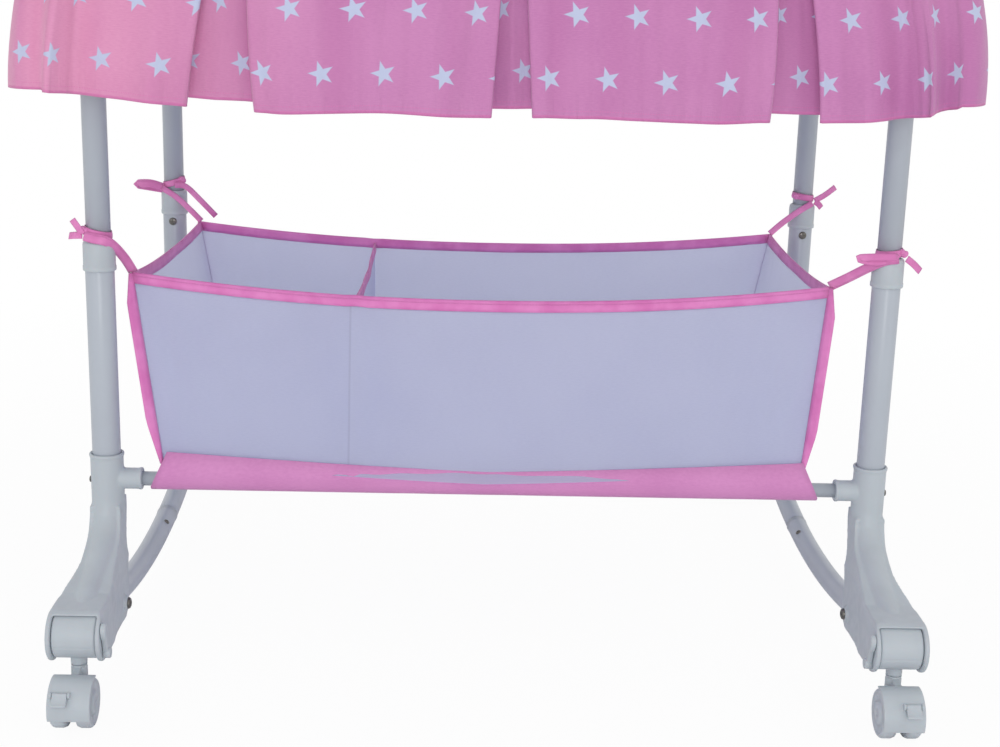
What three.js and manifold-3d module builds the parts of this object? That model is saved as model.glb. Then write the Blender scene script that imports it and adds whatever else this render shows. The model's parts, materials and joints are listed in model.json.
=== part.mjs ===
// Baby cradle on a rocking stand, with a fabric bed, a hanging skirt, a storage basket,
// curved rocker tubes and four casters that fold away.
// Millimetres. +Z is up, +X runs along the bed and -Y is the front.
// The origin is on the floor under the middle of the bed.

import * as THREE from "three";
import { mergeVertices } from "three/addons/utils/BufferGeometryUtils.js";
import Module from "manifold-3d";

const wasm = await Module();
wasm.setup();

// Fits
const CLEARANCE = 0.3; // between pieces that touch
const OVERRUN = 3; // how far a cut runs past the face it opens
const WELD = 0.001; // vertices closer than this are one

// Stand
const LEG_SPACING = 830; // between leg centres along the bed
const LEG_DEPTH = 426; // between leg centres, front to back
const LEG_SEAT_HEIGHT = 176; // lower end of a leg inside its foot
const UPPER_TUBE_RADIUS = 12.7;
const UPPER_TUBE_WALL = 1.5;
const UPPER_TUBE_INSERT = 70; // how far the end frame stands in the lower leg tubes
const LOWER_TUBE_RADIUS = 15;
const COLLAR_BOTTOM_HEIGHT = 432.5;
const COLLAR_LENGTH = 31.5;
const COLLAR_JOINT_RISE = 17.5; // upper end of the lower leg tube above the collar's bottom
const COLLAR_WALL = 1.9;
const COLLAR_LIP = 2; // bevel at the top of a collar

// Bed frame
const RAIL_HEIGHT = 828; // centre of the end rails and side rails
const END_BEND_RADIUS = 42;
const CONNECTOR_WALL = 3.2;
const CONNECTOR_EDGE_ROUND = 6;
const CONNECTOR_GRIP = 12; // how far a corner connector runs past the bend
const CONNECTOR_SOCKET = 30; // length of its side rail socket
const RAIL_ROOT_GAP = 1.5; // between a side rail's end and the connector's bent bore

// Bed
const LINER_RAIL_GAP = 2.5; // between the fabric tub and the frame inside which it hangs
const LINER_WALL = 4;
const LINER_FLOOR = 3;
const LINER_BOTTOM_HEIGHT = 616;
const LINER_CORNER_RADIUS = 30;
const RIM_THICKNESS = 4;
const RIM_SIDE_GAP = 4; // between the folded rim and the corner connectors
const RIM_CORNER_RADIUS = 16; // inside the folded rim
const RIM_DROP = 55; // how far the rim folds down outside the rails
const BOARD_THICKNESS = 6;
const BOARD_EDGE_GAP = 3;
const MATTRESS_EDGE_GAP = 4;
const MATTRESS_THICKNESS = 40;
const MATTRESS_CROWN = 8;
const MATTRESS_CORNER_RADIUS = 45;
const MATTRESS_SIDE_DRAW = 7; // how far its bottom and top edges draw in
const MATTRESS_SIDE_BOW = 4; // how far its sides draw in between the corners

// Skirt
const SKIRT_THICKNESS = 3;
const SKIRT_TOP_DROP = 2; // below the top of the rim
const HEM_END_REACH = 73; // hem outside the leg centres at the ends
const HEM_SIDE_REACH = 68; // hem outside the leg centres at the sides
const HEM_CORNER_RADIUS = 36;
const HEM_HEIGHT = 604;
const HEM_CORNER_LIFT = 22;
const HEM_PLEAT_LIFT = 10;
const PLEAT_PITCH = 285;
const PLEAT_SHIFT = 8; // the front pleats sit this far to the right
const PLEAT_HALF_WIDTH = 30;
const PLEAT_FOLD_WIDTH = 9; // width of a pleat's turned side
const PLEAT_DEPTH = 20;
const PANEL_BULGE = 7; // how far a panel swells between its pleats

// Basket
const BAR_RADIUS = 7.75;
const BAR_WALL = 1.2;
const BAR_HEIGHT = 204.5;
const BASKET_RIM_END_GAP = 42; // rim corner inside the leg centres along the bed
const BASKET_RIM_SIDE_GAP = 26; // and front to back
const BASKET_BASE_END_GAP = 64;
const BASKET_SLEEVE_END_GAP = 48;
const BASKET_RIM_HEIGHT = 422;
const BASKET_SIDE_SAG = 20; // how far the long rims hang down in the middle
const BASKET_END_SAG = 8;
const BASKET_SIDE_BOW = 5; // how far its long sides bow outward in the middle
const BASKET_END_BOW = 3; // and its ends
const BASKET_WALL = 3;
const BASKET_FLOOR = 3;
const BASKET_CORNER_RADIUS = 12;
const BASKET_SLEEVE_WALL = 2.2;
const DIVIDER_PLACE = -150; // along the bed
const DIVIDER_THICKNESS = 3;
const DIVIDER_TOP_DROP = 16; // below the sagging rim

// Ties that hold the basket to the legs
const TIE_WIDTH = 9;
const TIE_THICKNESS = 1.6;
const TIE_GAP = 2.5; // between the loop round the leg and the collar below it
const TIE_KNOT_RADIUS = 5.5;
const TIE_TAIL_LENGTH = 26;
const TIE_TAIL_SPREAD = 9;
const TIE_TAIL_WIDTH = 5;

// Rockers
const ROCKER_RADIUS = 12.7;
const ROCKER_WALL = 1.5;
const ROCKER_ARC_RADIUS = 1100;
const ROCKER_LOW_HEIGHT = 46; // tube centre at the middle
const ROCKER_END_REACH = 37; // ends outward of the leg centres
const ROCKER_JOINT = 105; // joint line, towards the rear
const ROCKER_SPIGOT_LENGTH = 55;
const ROCKER_SPIGOT_RADIUS = 10.7;
const ROCKER_SPIGOT_WALL = 1.6;
const ROCKER_SHOULDER = 4;

// Feet, measured outward from the leg centre and up from the floor
const SOCKET_TOP_HEIGHT = 234;
const SOCKET_WALL = 2.2;
const SOCKET_FLANGE = 1.1;
const SOCKET_FLANGE_HEIGHT = 3.5;
const SOCKET_BASE_HEIGHT = 158;
const BAR_SOCKET_RADIUS = 11.5;
const BAR_SOCKET_REACH = 38;
const BAR_INSERT = 18; // length of the bar inside its socket
const NECK_HALF_WIDTH = 17.8;
const NECK_TOP_HEIGHT = 174;
const SOLE_HEIGHT = 56;
const FOOT_EDGE_ROUND = 6;
const HINGE_OUT = 150;
const HINGE_HEIGHT = 88;
const CHEEK_RADIUS = 26.5;
const CHEEK_THICKNESS = 4.5;
const ROCKER_BOSS_WALL = 4;
const ROCKER_BOSS_LENGTH = 26;
const ROCKER_BORE_START = 9; // the bore opens here, towards the middle of the cradle
const BOLT_BOSS_RADIUS = 8.5;
const BOLT_BOSS_REACH = 24; // towards the middle of the bed, from the leg centre

// Carriers that fold the casters away
const BARREL_RADIUS = 23.5;
const BARREL_WIDTH = 43.5;
const BARREL_SLOT_GAP = 0.8;
const BARREL_EDGE_ROUND = 1.5;
const TRUNNION_RADIUS = 4;
const CARRIER_NECK_RADIUS = 8.4;
const CARRIER_NECK_BOTTOM_HEIGHT = 57;
const LOCK_WIDTH = 5.4;
const LOCK_PIVOT_OUT = 160;
const LOCK_PIVOT_HEIGHT = 73;
const LOCK_PIVOT_RADIUS = 5.5;
const LOCK_PIN_RADIUS = 2.5;
const LOCK_ARM_LENGTH = 29;
const LOCK_ARM_HALF_WIDTH = 3.5;
const LOCK_TAB_HALF_WIDTH = 6.5;
const LOCK_TAB_LENGTH = 14;

// Casters
const WHEEL_RADIUS = 25;
const WHEEL_TRAIL = 24; // axle outward of the swivel axis
const WHEEL_GAP = 10; // between the twin wheels
const WHEEL_OUTER_HALF_WIDTH = 21.6;
const WHEEL_EDGE_ROUND = 3;
const AXLE_RADIUS = 4;
const HOOD_HALF_WIDTH = 22.2;
const HOOD_WALL = 1.8;
const HOOD_WEB_HALF_WIDTH = 3.6;
const HOOD_BOSS_RADIUS = 8.2;
const SWIVEL_PIN_RADIUS = 5;
const SWIVEL_PIN_TOP_HEIGHT = 84;
const WEB_HUB_RADIUS = 8;
const PEDAL_WIDTH = 15;
const PEDAL_OFFSET = 8; // outboard of the caster's middle
const PEDAL_LENGTH = 13;
const PEDAL_THICKNESS = 2.6;
const PEDAL_PIN_RADIUS = 1.3;
const PEDAL_PIVOT_RISE = 19; // above the axle
const PEDAL_PIVOT_REACH = 24.6; // outward of the axle
const PEDAL_ROOT_RADIUS = 2.4;
const PEDAL_EAR_WIDTH = 2.4;
const PEDAL_EAR_RADIUS = 3.4;

// Angles in degrees
const PEDAL_ANGLE = -45;
const LOCK_ANGLE = 76;
const HOOD_FRONT_ANGLE = -18;
const HOOD_BACK_ANGLE = 118;

const WEB_HUB_FROM_ANGLE = -130;
const WEB_HUB_TO_ANGLE = 20;
const EAR_HALF_ANGLE = 70;

// Numbers of sides and steps
const TUBE_SIDES = 12;
const SMALL_SIDES = 10;
const WHEEL_SIDES = 16;
const BEND_STEPS = 4;
const ROCKER_STEPS = 6;
const CHEEK_STEPS = 8;
const EAR_STEPS = 4;
const PANEL_CORNER_STEPS = 4;
const MATTRESS_CORNER_STEPS = 5;
const BASKET_CORNER_STEPS = 2;

// Outline shares. A foot's outline is given as shares of the hinge's reach and of the neck's rise.
const FOOT_RIDGE_SHARES = [[0.127, 1], [0.23, 0.8], [0.53, 0.63], [0.75, 0.54]];
const FOOT_SOLE_SHARES = [[0.84, 0.05], [0.7, 0.025], [0.2, 0]];
const FOOT_HEEL_SHARES = [
  [0.1, 0.07], [0.087, 0.2], [0.085, 0.43], [0.01, 0.68], [-0.107, 0.92], [-0.107, 1],
];
// Half width of a foot's nose: share of the hinge's reach, share of the widening beyond the neck
const FOOT_WIDTH_SHARES = [[0.34, -0.5], [0.43, 0], [0.53, 0.2], [0.63, 0.6], [0.74, 0.9], [0.86, 1]];
// Side of the mattress from its bottom edge to its top: share of the draw-in, share of the thickness
const MATTRESS_SIDE_SHARES = [[1, 0], [0.25, 0.18], [0, 0.5], [0.25, 0.82], [1, 1]];
// Top of the mattress: share of its half size, share of its crown
const MATTRESS_CROWN_SHARES = [[0.82, 0.62], [0.5, 0.93]];
// Rows of the skirt from the hem up: share of the flare, share of the height
const SKIRT_ROW_SHARES = [[1, 0], [0.94, 0.24], [0.7, 0.55], [0.33, 0.82], [0, 1]];
const TIE_TAIL_START_SHARE = 0.2; // of the spread, where a tail leaves the knot
const TIE_TAIL_SHARES = [[0, 0], [0.5, 0.55], [0.8, 1]]; // of the spread and of the length
// Places along straight sides, as shares of their halves, and round a corner, as shares of its turn
const MATTRESS_LONG_SHARES = [-0.5, 0, 0.5];
const MATTRESS_SHORT_SHARES = [0];
const BASKET_LONG_SHARES = [-0.8, -0.4, 0, 0.4, 0.8];
const BASKET_SHORT_SHARES = [-0.5, 0, 0.5];
const SKIRT_CORNER_SHARES = [0, 0.25, 0.5, 0.75, 1];
const PANEL_SWELL_SHARES = [1 / 3, 2 / 3]; // of a panel's width, where it swells most

// Places worked out from the sizes above
const legX = LEG_SPACING / 2;
const legY = LEG_DEPTH / 2;
const connectorRadius = UPPER_TUBE_RADIUS + CLEARANCE + CONNECTOR_WALL;
const footHalfWidth = BARREL_WIDTH / 2 + BARREL_SLOT_GAP + CHEEK_THICKNESS;
const collarRadius = LOWER_TUBE_RADIUS + CLEARANCE + COLLAR_WALL;
const socketRadius = LOWER_TUBE_RADIUS + CLEARANCE + SOCKET_WALL;
const axleOut = HINGE_OUT + WHEEL_TRAIL;
const legJointHeight = COLLAR_BOTTOM_HEIGHT + COLLAR_JOINT_RISE;
const collarTopHeight = COLLAR_BOTTOM_HEIGHT + COLLAR_LENGTH;
const tieHeight = collarTopHeight + TIE_GAP + TIE_WIDTH / 2; // middle of the loop round the leg
const rockerEnd = legY + ROCKER_END_REACH;
const rimUnderHeight = RAIL_HEIGHT + connectorRadius + CLEARANCE;
const rimTopHeight = rimUnderHeight + RIM_THICKNESS;
const tubHalfX = legX - connectorRadius - LINER_RAIL_GAP;
const tubHalfY = legY - connectorRadius - LINER_RAIL_GAP;
const rimInnerHalfX = legX + connectorRadius + RIM_SIDE_GAP;
const rimInnerHalfY = legY + connectorRadius + RIM_SIDE_GAP;

// Materials
const tubePaint = new THREE.MeshStandardMaterial({ color: 0xc9ced6, roughness: 0.35, metalness: 0.1 });
const whitePlastic = new THREE.MeshStandardMaterial({ color: 0xd3d9e0, roughness: 0.4, metalness: 0 });
const wheelPlastic = new THREE.MeshStandardMaterial({ color: 0xcdd3d9, roughness: 0.5, metalness: 0 });
const pinkFabric = new THREE.MeshStandardMaterial({ color: 0xcf84bb, roughness: 0.9, metalness: 0 });
const whiteFabric = new THREE.MeshStandardMaterial({ color: 0xc5c8de, roughness: 0.9, metalness: 0 });
const ribbonFabric = new THREE.MeshStandardMaterial({ color: 0xdd6bb4, roughness: 0.8, metalness: 0 });
const boardWood = new THREE.MeshStandardMaterial({ color: 0xb79a72, roughness: 0.8, metalness: 0 });

// Solids

/** Closed solid of a three.js geometry. */
function solid(geometry) {
  const bare = geometry.clone();
  bare.deleteAttribute("normal");
  bare.deleteAttribute("uv");
  const welded = mergeVertices(bare, WELD);
  return new wasm.Manifold(new wasm.Mesh({
    numProp: 3,
    vertProperties: Float32Array.from(welded.attributes.position.array),
    triVerts: Uint32Array.from(welded.index.array),
  }));
}

/** Geometry of a closed solid. */
function geometryOf(body) {
  const mesh = body.getMesh();
  const geometry = new THREE.BufferGeometry();
  geometry.setAttribute("position", new THREE.BufferAttribute(mesh.vertProperties, 3));
  geometry.setIndex(new THREE.BufferAttribute(mesh.triVerts, 1));
  geometry.computeVertexNormals();
  return geometry;
}

/** One solid from several that meet. */
function joined(...geometries) {
  return geometries.map(solid).reduce((whole, piece) => whole.add(piece));
}

/** A solid with others cut away. */
function cut(body, ...geometries) {
  return geometries.map(solid).reduce((whole, piece) => whole.subtract(piece), body);
}

// Sections

/** Radius of a many-sided bore that clears a round piece of the given radius. */
function boreRadius(radius, sides = TUBE_SIDES) {
  return (radius + CLEARANCE) / Math.cos(Math.PI / sides);
}

/** Points of a regular polygon, with a flat side facing down. */
function circlePoints(radius, sides = TUBE_SIDES) {
  return Array.from({ length: sides }, (_, side) => {
    const angle = ((side + 0.5) / sides) * 2 * Math.PI - Math.PI / 2;
    return new THREE.Vector2(radius * Math.cos(angle), radius * Math.sin(angle));
  });
}

/** Round section. */
function roundShape(radius, sides = TUBE_SIDES) {
  return new THREE.Shape(circlePoints(radius, sides));
}

/** Round section with a round hole. */
function ringShape(outerRadius, innerRadius, sides = TUBE_SIDES) {
  const shape = roundShape(outerRadius, sides);
  shape.holes.push(new THREE.Path(circlePoints(innerRadius, sides)));
  return shape;
}

/** Points along an arc, both ends counted. */
function arcPoints(centreX, centreY, radius, fromDegrees, toDegrees, steps) {
  return Array.from({ length: steps + 1 }, (_, step) => {
    const angle = THREE.MathUtils.degToRad(fromDegrees + ((toDegrees - fromDegrees) * step) / steps);
    return new THREE.Vector2(centreX + radius * Math.cos(angle), centreY + radius * Math.sin(angle));
  });
}

/** Points of a shape or path, moved in its own plane. */
function shiftedPoints(shape, across, up) {
  return shape.getPoints(1).map((point) => new THREE.Vector2(point.x + across, point.y + up));
}

/** Shape moved in its own plane. */
function shiftedShape(shape, across, up) {
  return new THREE.Shape(shiftedPoints(shape, across, up));
}

/** Ring shape moved in its own plane, hole and all. */
function shiftedRing(shape, across, up) {
  const moved = shiftedShape(shape, across, up);
  moved.holes = shape.holes.map((hole) => new THREE.Path(shiftedPoints(hole, across, up)));
  return moved;
}

// Extrusions

/** Upright prism of an outline in X and Y. */
function upright(shape, bottom, top) {
  const geometry = new THREE.ExtrudeGeometry(shape, { depth: top - bottom, bevelEnabled: false });
  return geometry.translate(0, 0, bottom);
}

/** Prism along X of an outline in Y and Z, with its edges rounded inside its size. */
function acrossX(shape, fromX, toX, round = 0, roundSteps = 1) {
  const geometry = new THREE.ExtrudeGeometry(shape, {
    depth: toX - fromX - 2 * round,
    bevelEnabled: round > 0,
    bevelThickness: round,
    bevelSize: round,
    bevelOffset: -round,
    bevelSegments: roundSteps,
  });
  const turn = new THREE.Matrix4().makeBasis(
    new THREE.Vector3(0, 1, 0),
    new THREE.Vector3(0, 0, 1),
    new THREE.Vector3(1, 0, 0),
  );
  return geometry.applyMatrix4(turn).translate(fromX + round, 0, 0);
}

/** Round bar along X. */
function barX(radius, fromX, toX, outward, height, sides = TUBE_SIDES) {
  return acrossX(shiftedShape(roundShape(radius, sides), outward, height), fromX, toX);
}

/** Solid turned about Z from a profile of radius and height, anticlockwise. */
function turned(profile, sides = TUBE_SIDES) {
  const points = profile.map(([radius, height]) => new THREE.Vector2(radius, height));
  return new THREE.LatheGeometry(points, sides).rotateX(Math.PI / 2);
}

/** A path through chosen stations, so a bent tube has rings only where it bends. */
class StationPath extends THREE.Curve {
  constructor(stations) {
    super();
    this.stations = stations;
    this.steps = stations.length - 1;
  }

  getPointAt(share, target = new THREE.Vector3()) {
    return target.copy(this.stations[Math.round(share * this.steps)].point);
  }

  getTangentAt(share, target = new THREE.Vector3()) {
    return target.copy(this.stations[Math.round(share * this.steps)].tangent);
  }
}

/** Section swept along a path of stations. */
function swept(shape, path) {
  return new THREE.ExtrudeGeometry(shape, { steps: path.steps, extrudePath: path });
}

/** Station in the plane across the bed. */
function station(outward, height, along, up) {
  return {
    point: new THREE.Vector3(0, outward, height),
    tangent: new THREE.Vector3(0, along, up).normalize(),
  };
}

// Lofts

/** Closed solid through rings of matching points. A looped one joins its last ring to its first. */
function loft(rings, looped = false) {
  const sides = rings[0].length;
  const positions = rings.flat().flatMap((point) => point.toArray());
  const triangles = [];
  const bands = looped ? rings.length : rings.length - 1;
  for (let band = 0; band < bands; band += 1) {
    const next = (band + 1) % rings.length;
    for (let side = 0; side < sides; side += 1) {
      const turn = (side + 1) % sides;
      const low = [band * sides + side, band * sides + turn];
      const high = [next * sides + side, next * sides + turn];
      triangles.push(low[0], low[1], high[1], low[0], high[1], high[0]);
    }
  }
  if (!looped) {
    addCap(positions, triangles, rings[0], 0, true);
    addCap(positions, triangles, rings[rings.length - 1], (rings.length - 1) * sides, false);
  }
  const geometry = new THREE.BufferGeometry();
  geometry.setAttribute("position", new THREE.Float32BufferAttribute(positions, 3));
  geometry.setIndex(triangles);
  return geometry;
}

/** Fan of triangles that closes a ring. */
function addCap(positions, triangles, ring, first, facesBack) {
  const centre = ring.reduce((sum, point) => sum.add(point), new THREE.Vector3()).divideScalar(ring.length);
  const middle = positions.length / 3;
  positions.push(...centre.toArray());
  for (let side = 0; side < ring.length; side += 1) {
    const turn = (side + 1) % ring.length;
    triangles.push(middle, first + (facesBack ? turn : side), first + (facesBack ? side : turn));
  }
}

/** Outline stations of a rounded rectangle: places along each side as shares of its straight half. */
function outlineStations(longShares, shortShares, cornerSteps) {
  const sides = [
    { axis: "end", sign: 1, shares: shortShares },
    { axis: "side", sign: 1, shares: longShares.toReversed() },
    { axis: "end", sign: -1, shares: shortShares.toReversed() },
    { axis: "side", sign: -1, shares: longShares },
  ];
  const turns = Array.from({ length: cornerSteps + 1 }, (_, step) => step / cornerSteps);
  return sides.flatMap((side, quarter) => [
    ...side.shares.map((share) => ({ ...side, share, turn: null, quarter })),
    ...turns.map((turn) => ({ ...side, share: 1, turn, quarter })),
  ]);
}

/** Place of an outline station on a rounded rectangle, anticlockwise from the +X end. */
function outlinePoint(place, halfX, halfY, radius) {
  if (place.turn !== null) {
    const angle = (place.quarter + place.turn) * (Math.PI / 2);
    const cornerX = [1, -1, -1, 1][place.quarter] * (halfX - radius);
    const cornerY = [1, 1, -1, -1][place.quarter] * (halfY - radius);
    return new THREE.Vector2(cornerX + radius * Math.cos(angle), cornerY + radius * Math.sin(angle));
  }
  if (place.axis === "end") {
    return new THREE.Vector2(place.sign * halfX, place.share * (halfY - radius));
  }
  return new THREE.Vector2(place.share * (halfX - radius), place.sign * halfY);
}

/** Ring of points at one height, or at a height worked out for each station. Its sides can bow outward. */
function outlineRing(places, halfX, halfY, radius, height, bow = 0) {
  return places.map((place) => {
    const flat = outlinePoint(place, halfX, halfY, radius);
    if (place.turn === null) {
      const out = bow * (1 - place.share * place.share) * place.sign;
      flat.add(place.axis === "end" ? new THREE.Vector2(out, 0) : new THREE.Vector2(0, out));
    }
    return new THREE.Vector3(flat.x, flat.y, typeof height === "function" ? height(place) : height);
  });
}

/** Rounded rectangle as a shape. */
function panelShape(halfX, halfY, radius) {
  const places = outlineStations([], [], PANEL_CORNER_STEPS);
  return new THREE.Shape(places.map((place) => outlinePoint(place, halfX, halfY, radius)));
}

/** Flat ribbon through points, standing on its edge. */
function ribbon(points, width, thickness) {
  const rings = points.map((point, index) => {
    const before = points[Math.max(index - 1, 0)];
    const after = points[Math.min(index + 1, points.length - 1)];
    const along = after.clone().sub(before).normalize();
    const side = new THREE.Vector3(-along.y, along.x, 0).normalize().multiplyScalar(thickness / 2);
    const rise = new THREE.Vector3().crossVectors(side, along).normalize().multiplyScalar(width / 2);
    return [[1, 1], [1, -1], [-1, -1], [-1, 1]].map(([across, up]) =>
      point.clone().addScaledVector(side, across).addScaledVector(rise, up));
  });
  return loft(rings);
}

// Stand

/** Inverted U of the end frame, from one lower end over the top to the other. */
function endFrameGeometry() {
  const bendHeight = RAIL_HEIGHT - END_BEND_RADIUS;
  const bendOut = legY - END_BEND_RADIUS;
  const rising = Array.from({ length: BEND_STEPS + 1 }, (_, step) => {
    const angle = Math.PI - (step / BEND_STEPS) * (Math.PI / 2);
    const out = -bendOut + END_BEND_RADIUS * Math.cos(angle);
    return station(out, bendHeight + END_BEND_RADIUS * Math.sin(angle), Math.sin(angle), -Math.cos(angle));
  });
  const falling = rising
    .map(({ point, tangent }) => station(-point.y, point.z, tangent.y, -tangent.z))
    .reverse();
  const path = new StationPath([
    station(-legY, legJointHeight - UPPER_TUBE_INSERT, 0, 1),
    ...rising,
    ...falling,
    station(legY, legJointHeight - UPPER_TUBE_INSERT, 0, -1),
  ]);
  return geometryOf(solid(swept(ringShape(UPPER_TUBE_RADIUS, UPPER_TUBE_RADIUS - UPPER_TUBE_WALL), path)));
}

/** Lower leg tube, in which the end frame's leg stands. */
function legTubeGeometry() {
  const section = ringShape(LOWER_TUBE_RADIUS, boreRadius(UPPER_TUBE_RADIUS));
  return geometryOf(solid(upright(section, LEG_SEAT_HEIGHT, legJointHeight)));
}

/** Collar over the joint of a leg's two tubes. */
function collarGeometry() {
  const lowerBore = boreRadius(LOWER_TUBE_RADIUS);
  const upperBore = boreRadius(UPPER_TUBE_RADIUS);
  const stepHeight = legJointHeight + CLEARANCE;
  return geometryOf(solid(turned([
    [lowerBore, COLLAR_BOTTOM_HEIGHT],
    [collarRadius, COLLAR_BOTTOM_HEIGHT],
    [collarRadius, collarTopHeight - COLLAR_LIP],
    [collarRadius - COLLAR_LIP, collarTopHeight],
    [upperBore, collarTopHeight],
    [upperBore, stepHeight],
    [lowerBore, stepHeight],
    [lowerBore, COLLAR_BOTTOM_HEIGHT],
  ])));
}

/** Bent bore in a corner connector, seen from its leg: the end frame turns inward above it. */
function connectorBore() {
  const bendHeight = RAIL_HEIGHT - END_BEND_RADIUS;
  const reach = CONNECTOR_GRIP + OVERRUN;
  const bend = Array.from({ length: BEND_STEPS + 1 }, (_, step) => {
    const angle = (step / BEND_STEPS) * (Math.PI / 2);
    const out = END_BEND_RADIUS * (Math.cos(angle) - 1);
    return station(out, bendHeight + END_BEND_RADIUS * Math.sin(angle), -Math.sin(angle), Math.cos(angle));
  });
  return swept(roundShape(boreRadius(UPPER_TUBE_RADIUS)), new StationPath([
    station(0, bendHeight - reach, 0, 1),
    ...bend,
    station(-END_BEND_RADIUS - reach, RAIL_HEIGHT, -1, 0),
  ]));
}

/** Plastic corner that grips the bend of an end frame and holds a side rail. */
function connectorGeometry() {
  const bottom = RAIL_HEIGHT - END_BEND_RADIUS - CONNECTOR_GRIP;
  const inner = -END_BEND_RADIUS - CONNECTOR_GRIP;
  const outline = new THREE.Shape([
    new THREE.Vector2(connectorRadius, bottom),
    ...arcPoints(0, RAIL_HEIGHT, connectorRadius, 0, 90, BEND_STEPS),
    new THREE.Vector2(inner, RAIL_HEIGHT + connectorRadius),
    new THREE.Vector2(inner, RAIL_HEIGHT - connectorRadius),
    new THREE.Vector2(-END_BEND_RADIUS, RAIL_HEIGHT - connectorRadius),
    new THREE.Vector2(-connectorRadius, RAIL_HEIGHT - END_BEND_RADIUS),
    new THREE.Vector2(-connectorRadius, bottom),
  ]);
  const block = acrossX(outline, -connectorRadius, connectorRadius, CONNECTOR_EDGE_ROUND);
  const socketEnd = -connectorRadius - CONNECTOR_SOCKET;
  const socket = barX(connectorRadius, socketEnd, 0, 0, RAIL_HEIGHT);
  const railRadius = boreRadius(UPPER_TUBE_RADIUS);
  const railBore = barX(railRadius, socketEnd - OVERRUN, railEnd() + CLEARANCE, 0, RAIL_HEIGHT);
  return geometryOf(cut(joined(block, socket), connectorBore(), railBore));
}

/** End of a side rail, inward from the leg centre. */
function railEnd() {
  return -boreRadius(UPPER_TUBE_RADIUS) - RAIL_ROOT_GAP;
}

/** Side rail between two corner connectors. */
function sideRailGeometry() {
  const half = legX + railEnd();
  const section = ringShape(UPPER_TUBE_RADIUS, UPPER_TUBE_RADIUS - UPPER_TUBE_WALL);
  return geometryOf(solid(acrossX(shiftedRing(section, 0, RAIL_HEIGHT), -half, half)));
}

// Bed

/** Fabric tub that hangs inside the rails, with a rim that folds over them. */
function linerGeometry() {
  const rimHalfX = rimInnerHalfX + RIM_THICKNESS;
  const rimHalfY = rimInnerHalfY + RIM_THICKNESS;
  const lipBottom = rimTopHeight - RIM_DROP;
  const tubShape = panelShape(tubHalfX, tubHalfY, LINER_CORNER_RADIUS);
  const rimShape = panelShape(rimHalfX, rimHalfY, RIM_CORNER_RADIUS + RIM_THICKNESS);
  const underShape = panelShape(rimInnerHalfX, rimInnerHalfY, RIM_CORNER_RADIUS);
  const tub = upright(tubShape, LINER_BOTTOM_HEIGHT, rimTopHeight);
  const rim = upright(rimShape, lipBottom, rimTopHeight);
  const underRim = upright(underShape, lipBottom - OVERRUN, rimUnderHeight);
  const hollow = upright(
    panelShape(tubHalfX - LINER_WALL, tubHalfY - LINER_WALL, LINER_CORNER_RADIUS - LINER_WALL),
    LINER_BOTTOM_HEIGHT + LINER_FLOOR,
    rimTopHeight + OVERRUN,
  );
  const shell = cut(solid(rim), underRim).add(solid(tub));
  return geometryOf(cut(shell, hollow));
}

/** Stiff board on the floor of the tub. */
function boardGeometry() {
  const inset = LINER_WALL + BOARD_EDGE_GAP;
  const bottom = LINER_BOTTOM_HEIGHT + LINER_FLOOR + CLEARANCE;
  const shape = panelShape(tubHalfX - inset, tubHalfY - inset, LINER_CORNER_RADIUS - BOARD_EDGE_GAP);
  return geometryOf(solid(upright(shape, bottom, bottom + BOARD_THICKNESS)));
}

/** Mattress with a crowned top and drawn-in edges. */
function mattressGeometry() {
  const places = outlineStations(MATTRESS_LONG_SHARES, MATTRESS_SHORT_SHARES, MATTRESS_CORNER_STEPS);
  const inset = LINER_WALL + MATTRESS_EDGE_GAP;
  const halfX = tubHalfX - inset;
  const halfY = tubHalfY - inset;
  const bottom = LINER_BOTTOM_HEIGHT + LINER_FLOOR + BOARD_THICKNESS + 2 * CLEARANCE;
  const sides = MATTRESS_SIDE_SHARES.map(([drawShare, heightShare]) => {
    const draw = MATTRESS_SIDE_DRAW * drawShare;
    const height = bottom + MATTRESS_THICKNESS * heightShare;
    const radius = MATTRESS_CORNER_RADIUS;
    return outlineRing(places, halfX - draw, halfY - draw, radius, height, -MATTRESS_SIDE_BOW);
  });
  const crown = MATTRESS_CROWN_SHARES.map(([sizeShare, crownShare]) => outlineRing(
    places,
    halfX - (1 - sizeShare) * halfY,
    halfY * sizeShare,
    MATTRESS_CORNER_RADIUS * sizeShare,
    bottom + MATTRESS_THICKNESS + MATTRESS_CROWN * crownShare,
    -MATTRESS_SIDE_BOW,
  ));
  return geometryOf(solid(loft([...sides, ...crown])));
}

// Skirt

/** Stations along a straight side that holds pleats: four to a pleat and two to each panel between. */
function pleatStations(pleatCentres, straightHalf) {
  const marks = pleatCentres.flatMap((centre) => [
    { place: centre - PLEAT_HALF_WIDTH, fold: 0 },
    { place: centre - PLEAT_HALF_WIDTH + PLEAT_FOLD_WIDTH, fold: 1 },
    { place: centre + PLEAT_HALF_WIDTH - PLEAT_FOLD_WIDTH, fold: 1 },
    { place: centre + PLEAT_HALF_WIDTH, fold: 0 },
  ]);
  const pleatEdges = marks.filter((mark) => mark.fold === 0).map((mark) => mark.place);
  const edges = [-straightHalf, ...pleatEdges, straightHalf];
  const swells = [];
  for (let panel = 0; panel < edges.length; panel += 2) {
    const [start, end] = [edges[panel], edges[panel + 1]];
    swells.push(...PANEL_SWELL_SHARES.map((share) => ({ place: start + (end - start) * share, swell: 1 })));
  }
  return [...marks, ...swells].sort((first, second) => first.place - second.place);
}

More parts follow.
